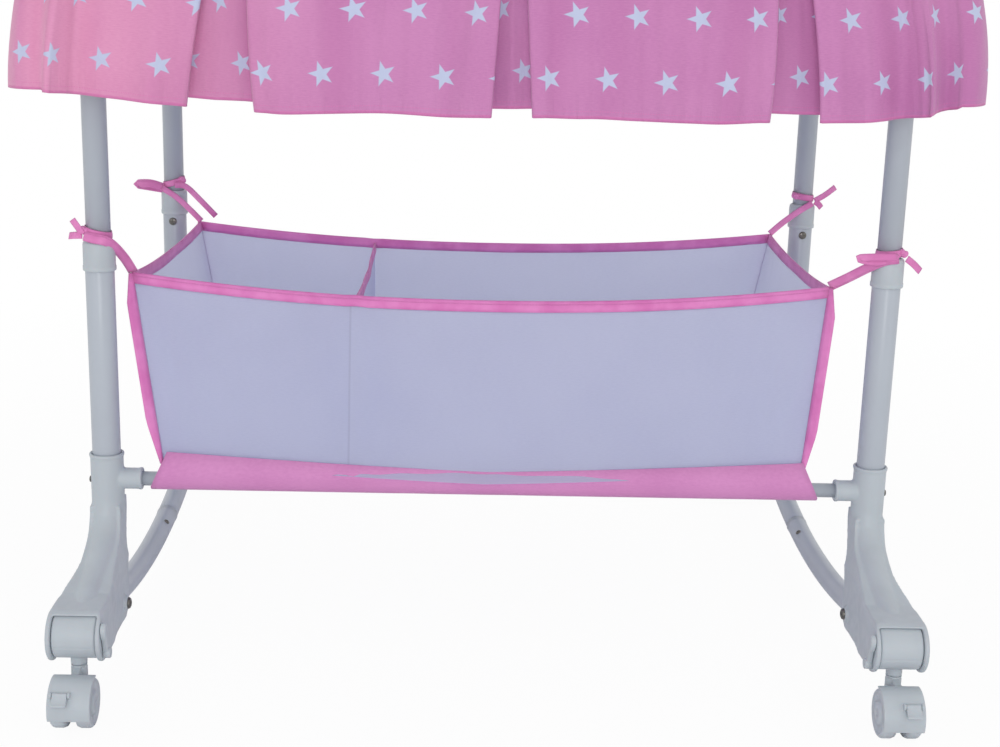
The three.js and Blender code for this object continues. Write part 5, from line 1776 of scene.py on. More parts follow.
@dataclass
class Skirt(Maker):
    """Pink skirt printed with stars, with box pleats on every side and a turned hem."""

    hem_half: tuple[float, float] = (0.490, 0.2775)
    top_half: tuple[float, float] = (0.4412, 0.2392)
    hem_radius: float = 0.035
    top_radius: float = 0.0222
    hem_height: float = 0.6055
    top_height: float = 0.8462
    corner_lift: tuple[float, float] = (0.017, 0.022)
    corner_curve: tuple[float, float] = (1.15, 2)
    corner_reach: float = 0.17
    fullness: float = 1.9
    pleat_lift: float = 0.0075
    pleat_depth: float = 0.024
    top_depth: float = 0.16
    tuck: float = 0.009
    top_tuck: float = 0.6
    closing: float = 0.7
    margin: float = 0.012
    bulge: float = 0.005
    ripples: tuple[float, float] = (0.0024, 0.0008)
    softness: float = 0.0040
    hem_inset: float = 0.0012
    hem_wave: float = 0.0012
    thickness: float = 0.0011
    rows: int = 40
    corner_steps: int = 12
    panel_step: float = 0.0065
    pleat_line: tuple[Fall, ...] = (
        Fall(1, 0.012, 0, 0, 0, 0), Fall(1, 0.005, 0, -0.0009, 0, 0), Fall(1, 0.0012, 0, -0.0006, 0, 0),
        Fall(1, 0, 0, 0.0012, 0, 0.05), Fall(1, 0.0016, 0, 0.0034, 0, 0.2), Fall(1, 0, 0.6, 0.0034, 0.3, 0.5),
        Fall(1, 0, 1, 0.0034, 0.55, 0.7), Fall(1, 0, 0.85, 0, 0.9, 0.9), Fall(1, 0, 0.3, 0, 1, 1),
        Fall(0.6, 0, 0, 0, 1.04, 1), Fall(0.25, 0, 0, 0, 1, 1),
    )
    front_pleats: tuple[Pleat, ...] = (Pleat(-0.2775, 0.0325), Pleat(0.010, 0.0205), Pleat(0.293, 0.0280))
    rear_pleats: tuple[Pleat, ...] = (Pleat(-0.285, 0.028), Pleat(0.0, 0.024), Pleat(0.285, 0.028))
    end_pleats: tuple[Pleat, ...] = (Pleat(0.0, 0.024),)
    creases: tuple[Crease, ...] = tuple(Crease(*numbers) for numbers in mm(
        (-438, 9, 28), (-410, 16, -8), (-345, 22, 10), (-215, 24, 13), (-130, 30, -8), (-60, 22, 9),
        (75, 22, 10), (150, 26, -9), (215, 20, 12), (362, 14, 14), (392, 10, -8), (416, 8.5, 26),
        (438, 9, -8), (457, 8.5, 22),
    ))
    header_section: Outline = mm(
        (1.6, -11), (1.9, -6), (1.7, -1), (0.8, 0.9), (-0.4, 0.9), (-1.1, -0.6), (-1.1, -8)
    )
    header_flat: tuple[float, ...] = (0, 0.005, 0.010, 0.0125, 0.014, 0.016, 0.0235)
    header_thickness: float = 0.0006

    def pleat_marks(self, pleat: Pleat, shrink: float, flare: float) -> list[tuple[float, float, float]]:
        """Section of a pleat at one height.

        Args:
            pleat: the pleat.
            shrink: how much the side is shorter here than at the hem.
            flare: 1 at the hem and 0 at the top.

        Returns:
            Places along the side, depths inward and shares of the recess.
        """
        wide = pleat.half_width * (1 - self.closing * (1 - flare))
        deep = self.pleat_depth * (self.top_depth + (1 - self.top_depth) * flare)
        tuck = self.tuck * (self.top_tuck + (1 - self.top_tuck) * flare)
        left = []
        for fall in self.pleat_line:
            away = wide * fall.wide + fall.beyond + tuck * fall.tucked
            left.append((-away, fall.inward + deep * fall.deep, fall.recess))
        marks = left + [(-place, depth, share) for place, depth, share in reversed(left)]
        return [(pleat.centre * shrink + place, depth, share) for place, depth, share in marks]

    def side_marks(
        self, pleats: Sequence[Pleat], hem_straight: float, straight: float, flare: float
    ) -> list[tuple[float, float, float]]:
        """Section of one side at one height, from one corner to the next.

        Args:
            pleats: the side's pleats, in order.
            hem_straight: half length of the side's straight part at the hem.
            straight: the same at this height.
            flare: 1 at the hem and 0 at the top.

        Returns:
            Places along the side, depths inward and shares of the recess.
        """
        marks: list[tuple[float, float, float]] = []
        edge, hem_edge = -straight, -hem_straight
        for pleat in [*pleats, None]:
            hem_end, end, section = hem_straight, straight, []
            if pleat is not None:
                hem_end = pleat.centre - pleat.half_width - self.margin
                section = self.pleat_marks(pleat, straight / hem_straight, flare)
                end = section[0][0]
            count = max(4, round((hem_end - hem_edge) / self.panel_step))
            for share in (step / count for step in range(1, count)):
                swell = self.bulge * flare * (1 - (2 * share - 1) ** 4)
                marks.append((edge + (end - edge) * share, -swell, 0))
            marks += section
            if pleat is not None:
                edge, hem_edge = section[-1][0], pleat.centre + pleat.half_width + self.margin
        return marks

    def ring(self, share: float) -> list[Vector]:
        """Points round the skirt at a share of its height.

        Args:
            share: share of the skirt's height.

        Returns:
            The points, anticlockwise.
        """
        flare, spread = (1 - share) ** 1.05, 1 - share**self.fullness
        half_x, half_y = (top + (hem - top) * spread for hem, top in zip(self.hem_half, self.top_half))
        radius = self.top_radius + (self.hem_radius - self.top_radius) * spread
        halves = zip(self.hem_half, (half_x, half_y))
        length, width = ((hem - self.hem_radius, half - radius) for hem, half in halves)
        sides = (
            (self.end_pleats, width, Vector((half_x, 0)), Vector((0, 1))),
            (self.rear_pleats, length, Vector((0, half_y)), Vector((-1, 0))),
            (self.end_pleats, width, Vector((-half_x, 0)), Vector((0, -1))),
            (self.front_pleats, length, Vector((0, -half_y)), Vector((1, 0))),
        )
        points: list[Vector] = []
        for quarter, (pleats, (hem_straight, straight), middle, along) in enumerate(sides):
            inward = -middle.normalized()
            creases = self.creases if quarter == 3 else ()
            for place, depth, recess in self.side_marks(pleats, hem_straight, straight, flare):
                swing = sum(crease.at(place * hem_straight / straight) for crease in creases)
                flat = middle + along * place + inward * (depth - swing * flare)
                corner_way = (straight - abs(place)) * (quarter % 2)
                lift = self.pleat_lift * recess + self.corner_rise(flat.x, corner_way)
                points.append(self.hung(flat, share, flare, lift))
            centre = middle + along * straight + inward * radius
            for step in range(self.corner_steps + 1):
                turn = math.pi / 2 * (quarter + step / self.corner_steps)
                flat = centre + Vector((math.cos(turn), math.sin(turn))) * radius
                points.append(self.hung(flat, share, flare, self.corner_rise(flat.x, 0)))
        return points

    def corner_rise(self, x: float, distance: float) -> float:
        """How much the hem rises at a distance from a corner.

        Args:
            x: place along X, which tells left from right.
            distance: distance from the corner.

        Returns:
            The rise.
        """
        side = 0 if x < 0 else 1
        near = max(0.0, 1 - distance / self.corner_reach)
        return self.corner_lift[side] * near ** self.corner_curve[side]

    def hung(self, flat: Vector, share: float, flare: float, lift: float) -> Vector:
        """Point of the cloth, with its soft ripples.

        Args:
            flat: the point seen from above, without ripples.
            share: share of the skirt's height.
            flare: 1 at the hem and 0 at the top.
            lift: how much the hem is raised here.

        Returns:
            The point.
        """
        around = math.atan2(flat.y / self.hem_half[1], flat.x / self.hem_half[0])
        wide, fine = self.ripples
        ripple = wide * math.sin(around * 23 + 2.2 * math.sin(around * 5))
        ripple += fine * math.sin(around * 61 + 1.3)
        soft = self.softness * wobble(Vector((flat.x, flat.y, share * 0.16)), 9, 3)
        soft *= (0.3 + 0.7 * flare) * min(1, 6 * (1 - share))
        flat = flat + flat.normalized() * (ripple * flare**1.5 + soft - self.hem_inset * flare)
        hem = self.hem_height + lift + self.hem_wave * math.sin(around * 17 + 0.6)
        return Vector((flat.x, flat.y, hem + (self.top_height - hem) * share))

    def build(self) -> None:
        """Makes the skirt and the binding folded over its top edge."""
        shares = [(row / self.rows) ** 1.15 for row in range(self.rows + 1)]
        rows = [self.ring(share) for share in shares]
        drop = self.top_height - self.hem_height
        flat = flat_places(rows[0], True, [share * drop for share in shares])
        skirt = thickened(grid("skirt_cloth", rows, True, flat), self.thickness)
        dress(skirt, self.finishes.stars, "stand", ("skirt",))
        outline = rounded_outline(*self.top_half, self.top_radius, 60, 8)
        rows = [raised(outline, self.top_height + rise, out) for out, rise in self.header_section]
        flat = flat_places(rows[0], True, self.header_flat)
        header = thickened(grid("skirt_header", rows, True, flat), self.header_thickness)
        dress(header, self.finishes.binding, "stand")


@dataclass
class Bed(Maker):
    """Quilted tub with its folded rim, board and mattress."""

    floor_height: float = 0.6175
    floor_shares: tuple[float, ...] = (0.02, 0.25, 0.5, 0.75, 0.93)
    floor_pitch: float = 0.05
    inner_half: tuple[float, float] = (0.3938, 0.1918)
    inner_radius: float = 0.028
    outer_half: tuple[float, float] = (0.4372, 0.2352)
    outer_radius: float = 0.018
    rim_top: float = 0.8472
    wall_top: float = 0.8412
    wall_rows: int = 30
    wall_inset: float = 0.0005
    rim_line: Outline = (
        (0.06, 0.8452), (0.2, 0.8468), (0.5, 0.8472), (0.8, 0.8468), (0.94, 0.8452), (1, 0.8412), (1, 0.8272),
        (1, 0.8072), (1, 0.7915),
    )
    rim_pitch: float = 0.009
    quilt_pitch: float = 0.062
    quilt_depth: float = 0.0016
    quilt_round: float = 2.33
    thickness: float = 0.0024
    board_radius: float = 0.028
    pad_voxel: float = 0.0075
    pad_share: float = 0.97
    puff_frames: int = 20
    puff_force: float = 4
    puff_limit: float = 0.004
    channel_pitch: float = 0.128
    channel_depth: float = 0.0035
    seam_height: float = 0.0335
    seam_inset: float = 0.0038
    seam_radius: float = 0.043

    def liner(self) -> None:
        """Tub whose rim folds over the rails, and the rim's pink piping."""
        inner = rounded_outline(*self.inner_half, self.inner_radius, 46, 8)
        outer = rounded_outline(*self.outer_half, self.outer_radius, 46, 8)
        normals = outline_normals(inner)
        floor = UP * self.floor_height
        rows = [[point * share + floor for point in inner] for share in self.floor_shares]
        rises = [self.floor_pitch] * len(rows)
        for share in (row / self.wall_rows for row in range(self.wall_rows + 1)):
            height = self.floor_height + (self.wall_top - self.floor_height) * share
            held = min(1, 8 * share, 8 * (1 - share))
            puffs = [self.quilting(index / len(inner), height) * held for index in range(len(inner))]
            base = zip(inner, normals, puffs)
            rows.append([Vector((p.x, p.y, height)) + n * (puff - self.wall_inset) for p, n, puff in base])
            rises.append((self.rim_top - self.floor_height) / self.wall_rows)
        for share, height in self.rim_line:
            rows.append([Vector((*a.lerp(b, share).xy, height)) for a, b in zip(inner, outer)])
            rises.append(self.rim_pitch)
        heights = [sum(rises[:row]) for row in range(len(rows))]
        sheet = grid("look_bed_liner", rows, True, flat_places(inner, True, heights))
        liner = thickened(sheet, self.thickness)
        dress(liner, self.finishes.liner, "stand", ("bed_liner",))
        piping = cord("rim_piping", inner, (0.0032, self.rim_top + 0.0002), (0.0026, 0.0022), 12, 0.0014)
        dress(piping, self.finishes.binding, "stand")

    def quilting(self, around: float, height: float) -> float:
        """Depth of the diamond seams at a share of the way round the wall.

        Args:
            around: share of the way round the wall.
            height: height of the place.

        Returns:
            The depth, below 0.
        """
        place = around * self.quilt_round
        ways = (place + height, place - height)
        nearest = min(abs(math.sin(math.pi * way / self.quilt_pitch)) for way in ways)
        return -self.quilt_depth * nearest**0.5

    def board(self) -> None:
        """Hard board on which the mattress lies."""
        low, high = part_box("bed_board")
        outline = [tuple(point.xy) for point in rounded_outline(high.x, high.y, self.board_radius, 4, 8)]
        board = rounded(prism("look_bed_board", outline, low.z, high.z, "Z"), 0.0012, 2, 50)
        dress(board, self.finishes.board, "stand", ("bed_board",))

    def mattress(self) -> None:
        """Padded mattress, puffed up as cloth and then seamed."""
        obj = linked("look_mattress", bpy.data.objects["mattress"].data.copy())
        low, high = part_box("mattress")
        middle = (low + high) / 2
        settled(changed(obj, "REMESH", {"mode": "VOXEL", "voxel_size": self.pad_voxel}))
        start = [vertex.co.copy() for vertex in obj.data.vertices]
        for vertex in obj.data.vertices:
            vertex.co.z = low.z + (vertex.co.z - low.z) * self.pad_share
        self.puff(obj, start)
        self.channel(obj, low, high)
        shaded(settled(changed(obj, "SMOOTH", {"factor": 0.4, "iterations": 3})))
        places = []
        for loop in obj.data.loops:
            place = obj.data.vertices[loop.vertex_index].co - middle
            places += [place.x + place.z, place.y + place.z]
        layer = obj.data.uv_layers[0] if obj.data.uv_layers else obj.data.uv_layers.new(name="cloth")
        layer.data.foreach_set("uv", places)
        dress(obj, self.finishes.ticking, "stand", ("mattress",))
        self.seam(low, high)

    def puff(self, obj: Body, start: Sequence[Vector]) -> None:
        """Runs the cloth with air pressure inside and holds it near its start.

        Args:
            obj: the mattress.
            start: where its points lay at first.
        """
        cloth = obj.modifiers.new("puff", "CLOTH")
        cloth.settings.use_pressure = True
        cloth.settings.uniform_pressure_force = self.puff_force
        cloth.settings.effector_weights.gravity = 0
        cloth.point_cache.frame_start, cloth.point_cache.frame_end = 1, self.puff_frames
        for frame in range(1, self.puff_frames + 1):
            bpy.context.scene.frame_set(frame)
        settled(obj)
        bpy.context.scene.frame_set(1)
        for vertex, rest in zip(obj.data.vertices, start):
            shift = vertex.co - rest
            if shift.length > self.puff_limit:
                vertex.co = rest + shift.normalized() * self.puff_limit

    def channel(self, obj: Body, low: Vector, high: Vector) -> None:
        """Presses stitched cross channels into the top and holds the pad inside its space.

        Args:
            obj: the mattress.
            low: lowest corner of its space.
            high: highest corner of its space.
        """
        for vertex in obj.data.vertices:
            point = vertex.co
            depth = (point.z - (low.z + high.z) / 2) / (high.z - low.z) * 2
            if depth > 0.2:
                across = abs(math.sin(math.pi * point.x / self.channel_pitch))
                point.z -= self.channel_depth * math.exp(-((across / 0.22) ** 2)) * min(1, depth)
            point.z += 0.0008 * wobble(point, 22, 5)
            for axis in range(3):
                point[axis] = min(max(point[axis], low[axis]), high[axis])

    def seam(self, low: Vector, high: Vector) -> None:
        """Piped seam round the mattress's upper edge, drawn in a little along its long sides.

        Args:
            low: lowest corner of the mattress.
            high: its highest corner.
        """
        half_x, half_y = high.x - self.seam_inset, high.y - self.seam_inset
        outline = rounded_outline(half_x, half_y, self.seam_radius, 40, 10)
        drawn = [Vector((p.x * (1 - 0.004 * math.cos(math.pi * p.x / 0.8)), p.y, 0)) for p in outline]
        seam = cord("mattress_seam", drawn, (0, low.z + self.seam_height), (0.0025, 0.0025), 8, 0.0015)
        dress(seam, self.finishes.ticking, "stand")

    def build(self) -> None:
        """Makes the tub, board and mattress."""
        self.liner()
        self.board()
        self.mattress()


def shares_between(count: int, low: float = -1, high: float = 1) -> list[float]:
    """Even steps from one number to another."""
    return [low + (high - low) * step / count for step in range(count + 1)]


def bell(distance: float, width: float) -> float:
    """1 at no distance, easing to 0 beyond a width."""
    return math.exp(-((distance / width) ** 2))


def ways_between(line: Sequence[Vector], goal: Sequence[Vector]) -> list[Vector]:
    """Ways from each point of a line to that of another."""
    return [(after - before).normalized() for before, after in zip(line, goal)]


@dataclass
class Basket(Maker):
    """White cloth basket with pink bindings, pink bands round its bars and a divider."""

    rim_half: tuple[float, float] = (0.3735, 0.1875)
    base_half: tuple[float, float] = (0.3430, 0.2240)
    rim_height: float = 0.4255
    base_height: float = 0.215
    rim_sag: float = 0.0215
    rim_slide: tuple[float, float] = (-0.013, -0.004)
    base_slide: tuple[float, float] = (-0.008, -0.005)
    band_slide: float = -0.005
    end_sag: float = 0.008
    sag_curve: float = 2.2
    corner_base: float = 0.2365
    middle_base: float = 0.2205
    base_curve: float = 1.25
    floor_height: float = 0.2165
    end_rise: float = 0.0055
    sewn_in: float = 0.06
    side_bow: float = 0.0045
    end_bow: float = 0.003
    thickness: float = 0.0010
    binding_width: float = 0.0112
    binding_thickness: float = 0.0006
    binding_section: Outline = mm(
        (1.2, 11.2), (1.4, 6.16), (1.2, 1.12), (0.72, -0.6), (0, -1), (-0.72, -0.6), (-1.2, 1.12),
        (-1.4, 6.16), (-1.2, 11.2),
    )
    binding_flat: tuple[float, ...] = (0, 0.45, 0.9, 1, 1.06, 1.12, 1.2, 1.65, 2.1)
    seam_shift: float = 0.0081
    divider_place: float = -0.150
    divider_rise: float = 0.0025
    divider_drop: float = 0.0055
    divider_inset: float = 0.0015
    divider_dip: float = 0.006
    bar_height: float = 0.2045
    bar_place: float = 0.213
    band_reach: float = 0.362
    band_edge: float = 0.0128
    band_section: Outline = mm(
        (13, 6.5), (12.2, 0), (10, -6.2), (5.8, -9.6), (0, -10.6), (-5.8, -9.2), (-9.4, -5.5), (-10.4, 0),
        (-9.8, 6.2), (-8.5, 9.8),
    )
    band_pitch: float = 0.0085
    band_length: float = 0.7336
    floor_inset: float = 0.0016
    steps: int = 88
    rows: int = 26

    def rise(self, height: float) -> float:
        """Share of the basket's height at which a height lies."""
        return (height - self.base_height) / (self.rim_height - self.base_height)

    def halves(self, height: float) -> tuple[float, float]:
        """Half sizes of the basket at a height."""
        rise = self.rise(height)
        return tuple(base + (rim - base) * rise for rim, base in zip(self.rim_half, self.base_half))

    def slide(self, across: float, height: float) -> float:
        """How far the basket hangs to the left at a share of its depth and at a height.

        Args:
            across: share of the depth, from -1 to 1.
            height: height of the place.

        Returns:
            The distance along X.
        """
        rise = self.rise(height)
        front, rear = (base + (rim - base) * rise for rim, base in zip(self.rim_slide, self.base_slide))
        return front + (rear - front) * (across + 1) / 2

    def rim(self, share: float, sag: float) -> float:
        """Height of the rim at a share of half a side."""
        return self.rim_height - sag * (1 - abs(share) ** self.sag_curve)

    def foot_line(self, share: float) -> float:
        """Height at which the white cloth of a long side ends on the band."""
        return self.middle_base + (self.corner_base - self.middle_base) * abs(share) ** self.base_curve

    def held(self, share: float, rise: float, reach: float) -> float:
        """How free the cloth is to crease: 0 at a wall's edges and 1 away from them."""
        return math.sin(math.pi * min(1, max(0, rise))) ** 0.5 * min(1, reach * (1 - abs(share)))

    def long_point(self, side: int, share: float, rise: float) -> Vector:
        """Point of a long wall.

        Args:
            side: -1 for the front and 1 for the rear.
            share: share along it, from -1 to 1.
            rise: share of its height.

        Returns:
            The point.
        """
        base, top = self.foot_line(share), self.rim(share, self.rim_sag)
        height = base + (top - base) * rise
        half_x, half_y = self.halves(height)
        belly = (self.side_bow + 0.0035 * math.sin(math.pi * rise)) * (1 - share * share)
        point = Vector((half_x * share + self.slide(side, height), side * (half_y + belly * 0.9), height))
        return point + BACK * side * self.folds(point, share, rise)

    def folds(self, point: Vector, share: float, rise: float) -> float:
        """Soft creases of a wall: drag lines from the corners, and the divider's seam.

        Args:
            point: the point before it creases.
            share: share along the wall, from -1 to 1.
            rise: share of its height.

        Returns:
            How far it comes out.
        """
        corner_way, seam_way = 1 - abs(share), point.x - self.divider_place
        drag = 0.0022 * math.exp(-corner_way / 0.16) * math.sin(78 * corner_way + 9 * rise)
        wide = wobble(Vector((point.x, point.z * 0.6, point.y)), 8, 1)
        soft = 0.0044 * wide + 0.0020 * wobble(point, 23, 4)
        seam = 0.0012 * bell(seam_way, 0.022) - 0.0042 * bell(seam_way, 0.006)
        return self.held(share, rise, 14) * (drag + soft) + seam * min(1, 3 * rise + 0.3)

    def end_point(self, side: int, share: float, rise: float) -> Vector:
        """Point of an end wall.

        Args:
            side: -1 for the left and 1 for the right.
            share: share along it, from -1 to 1.
            rise: share of its height.

        Returns:
            The point.
        """
        base, top = self.floor_height + self.end_rise, self.rim(share, self.end_sag)
        height = base + (top - base) * rise
        half_x, half_y = self.halves(height)
        belly = (self.end_bow + 0.003 * math.sin(math.pi * rise)) * (1 - share * share)
        point = Vector((side * (half_x + belly) + self.slide(share, height), half_y * share, height))
        return point + ALONG * side * self.held(share, rise, 10) * 0.0040 * wobble(point, 10, 7)

    def white(self, name: str, rows: Sequence[Sequence[Vector]], size: Sequence[float], node: str) -> Body:
        """Sheet of the white cloth.

        Args:
            name: object name.
            rows: rows of points from its lower or front edge.
            size: length and height of its flat cloth.
            node: node that it replaces.

        Returns:
            The sheet, dressed.
        """
        length, height = size
        columns, count = len(rows[0]) - 1, len(rows) - 1
        flat = [
            [(length * column / columns, height * row / count) for column in range(columns + 1)]
            for row in range(count + 1)
        ]
        sheet = grid(name, rows, flat=flat)
        return dress(sheet, self.finishes.basket, "stand", (node,))

    def wall(self, side: Side) -> None:
        """One wall, which hangs from its rim.

        Args:
            side: the wall's side.
        """
        if isinstance(side, Depth):
            length, point, columns, low = 2 * self.rim_half[0], self.long_point, self.steps, -self.sewn_in
        else:
            length, point, columns, low = 2 * self.rim_half[1], self.end_point, self.steps // 2, 0.0
        shares = shares_between(columns)
        rises = shares_between(self.rows, low)
        rows = [[point(side.value, share, rise) for share in shares] for rise in rises]
        wall = self.white(f"basket_wall_{side.label}", rows, (length, 0.2), "basket")

    def floor(self) -> None:
        """Floor that hangs a little between the bars and turns up at its edges to the walls."""
        half_x, half_y = self.base_half
        rows = []
        for across in shares_between(36):
            line = []
            for along in shares_between(60):
                lift = max(0.0, (abs(along) - 0.94) / 0.06) ** 2 * 0.008 * (1 - 0.3 * across * across)
                sink = 0.0008 * (1 - across * across) * (1 - along * along)
                x = along * (half_x - self.floor_inset) + self.slide(across, self.floor_height)
                y = across * (half_y - self.floor_inset)
                point = Vector((x, y, self.floor_height + 0.001 + lift - sink))
                line.append(point + UP * 0.0006 * wobble(point, 16, 2))
            rows.append(line)
        floor = self.white("basket_floor", rows, (2 * half_x, 2 * half_y), "basket")

    def band_point(self, side: Depth, share: float, out: float, up: float | None) -> Vector:
        """Point of a band, which is a little shorter the higher it is.

        Args:
            side: the band's side.
            share: share along it, from -1 to 1.
            out: how far it lies outward of the bar's middle.
            up: its height above the bar's middle, or None at the edge that holds the wall.

        Returns:
            The point.
        """
        height, lean = self.bar_height + (up or 0), 0.0
        if up is None:
            height = self.foot_line(share * 0.99) + 0.0024
            lean = self.side_bow * 0.315 * (1 - share * share) - 0.0006
        reach = self.band_reach - 0.016 * max(0.0, (height - self.bar_height + 0.006) / 0.034)
        x = share * reach + self.band_slide
        soft = 0.0004 * wobble(Vector((x, out, height)), 30, 6)
        return Vector((x, side.value * (self.bar_place + out + lean + soft), height))

    def band(self, side: Depth) -> None:
        """Pink band that wraps a bar and holds the wall's lower edge.

        Args:
            side: the band's side.
        """
        section, shares = ((self.band_edge, None), *self.band_section), shares_between(80)
        rows = [[self.band_point(side, share, out, up) for share in shares] for out, up in section]
        lengths = [self.band_length * (share + 1) / 2 for share in shares]
        flat = [[(length, self.band_pitch * row) for length in lengths] for row in range(len(rows))]
        band = thickened(grid(f"basket_band_{side.label}", rows, flat=flat), self.thickness)
        dress(band, self.finishes.band, "stand", (f"basket_sleeve_{side.label}",))

    def binding(
        self, name: str, line: Sequence[Vector], outward: Vector, down: Sequence[Vector], carrier: str
    ) -> None:
        """Binding folded over an edge of cloth.

        Args:
            name: name of the piece.
            line: the edge.
            outward: way square to the cloth.
            down: ways from the edge into the cloth at each point.
            carrier: not used.
        """
        edge = list(zip(line, down))
        rows = [[p + outward * out + d * into for p, d in edge] for out, into in self.binding_section]
        width, lengths = self.binding_width, lengths_along(line)
        flat = [[(length, width * share) for length in lengths] for share in self.binding_flat]
        piece = thickened(grid(name, rows, flat=flat), self.binding_thickness)
        dress(piece, self.finishes.binding, "stand")

    def rim_bindings(self) -> None:
        """Bindings of the four rims and the four corner seams."""
        shares = shares_between(60)
        for side in (*Depth, *End):
            long = isinstance(side, Depth)
            point = self.long_point if long else self.end_point
            outward = Vector((0, side.value, 0.17)) if long else Vector((side.value, 0, -0.08))
            line, lower = ([point(side.value, share, rise) for share in shares] for rise in (1, 0.93))
            down, carrier = ways_between(line, lower), f"basket_wall_{side.label}"
            self.binding(f"rim_binding_{side.label}", line, outward.normalized(), down, carrier)
        for corner in Corner:
            sign_x, sign_y = corner.signs
            away = Vector((sign_x, sign_y, 0))
            line, down = [], []
            for rise in shares_between(20, -self.sewn_in):
                shift = min(1, 0.45 + 3 * rise, 0.35 + 4 * (1 - rise))
                line.append(self.long_point(sign_y, sign_x, rise) + away * self.seam_shift * shift)
                down.append(-away.normalized() * shift)
            outward = Vector((sign_x, -sign_y, 0)).normalized()
            carrier = f"basket_wall_{Depth(sign_y).label}"
            self.binding(corner.node("seam_binding"), line, outward, down, carrier)

    def divider(self) -> None:
        """Divider with its bound top."""
        base = self.floor_height + self.divider_rise
        top = self.rim(self.divider_place / self.rim_half[0], self.rim_sag) - self.divider_drop
        rows = []
        for share in shares_between(20, 0):
            height = base + (top - base) * share
            half_y = self.halves(height)[1] - self.divider_inset
            line = []
            for across in shares_between(40):
                sway = 0.0016 * wobble(Vector((across * 0.2, height, 0)), 11, 8) * (1 - across**4)
                dip = self.divider_dip * (1 - across * across) * share
                line.append(Vector((self.divider_place + sway, across * half_y, height - dip)))
            rows.append(line)
        divider = self.white("look_basket_divider", rows, (0.4, 0.18), "basket_divider")
        down = ways_between(rows[-1], rows[-2])
        self.binding("divider_binding", rows[-1], ALONG, down, "look_basket_divider")

    def build(self) -> None:
        """Makes the basket."""
        for side in Depth:
            self.wall(side)
            self.band(side)
        for end in End:
            self.wall(end)
        self.floor()
        self.divider()
        self.rim_bindings()


@dataclass(frozen=True)
class Strip:
    """A ribbon's middle line from the leg's centre, the way its face looks, and its width."""

    points: Sequence[Sequence[float]]
    facing: tuple[float, float, float] = (0, -1, 0.15)
    width: float = 0.0078


@dataclass(frozen=True)
class Tie:
    """One corner's tie: its loop's height and slant, the knot's angle round the leg, and its strips."""

    height: float
    slant: float
    knot_angle: float
    strips: tuple[Strip, ...]


TIES = {
    Corner.FRONT_LEFT: Tie(0.4725, -0.0032, 180, (
        Strip(mm((29, 26, 427), (24, 12, 443), (17, -6, 459), (10, -15, 466), (-2, -16.2, 468.5),
                 (-12, -12.5, 470.5)), width=0.0104),
        Strip(mm((-14, -11.5, 472), (-18, -12.5, 479), (-23.5, -12, 487)), (-0.5, -1, 0.1)),
        Strip(mm((-14, -10.5, 470.5), (-21, -11.5, 470.5), (-28, -9, 469.5)), (0, -1, 0.6)),
    )),
    Corner.FRONT_RIGHT: Tie(0.4690, 0.0015, -12, (
        Strip(mm((-54, 26, 427), (-39, 12, 439), (-22, -6, 454), (-8, -15.5, 463), (6, -16.5, 465.5)),
              width=0.0104),
        Strip(mm((4, -16.5, 467), (-16, -17.5, 467), (-36, -15, 465), (-20, -15.5, 461.5), (2, -16, 464.5))),
        Strip(mm((16, -11, 465), (24, -11, 459), (32, -9, 451.5)), (0.3, -1, 0.3)),
    )),
    Corner.REAR_LEFT: Tie(0.4740, 0.0040, -10, (
        Strip(mm((39, -26, 427), (25, -22, 440), (6, -17, 456), (-13, -14.5, 467.5)), width=0.0074),
        Strip(mm((-12, -13, 468), (-28, -14, 472.5), (-45, -12, 471.5), (-28, -10, 468.5), (-13, -11, 466.5)),
              width=0.0112),
        Strip(mm((4, -16.5, 472), (18, -15, 470), (35, -16, 454.5), (56.5, -17, 432.5)), width=0.0074),
    )),
    Corner.REAR_RIGHT: Tie(0.4740, -0.0020, 205, (
        Strip(mm((-46, -26, 427), (-29, -21, 441), (-8, -17.5, 456), (10, -15.5, 467))),
        Strip(mm((13, -13, 470), (26, -13.5, 478), (39.5, -12, 488.5)), (0.3, -1, 0)),
        Strip(mm((13, -14, 469), (18, -14.5, 466), (22.5, -13, 461)), (0.2, -1, 0.2)),
    )),
}


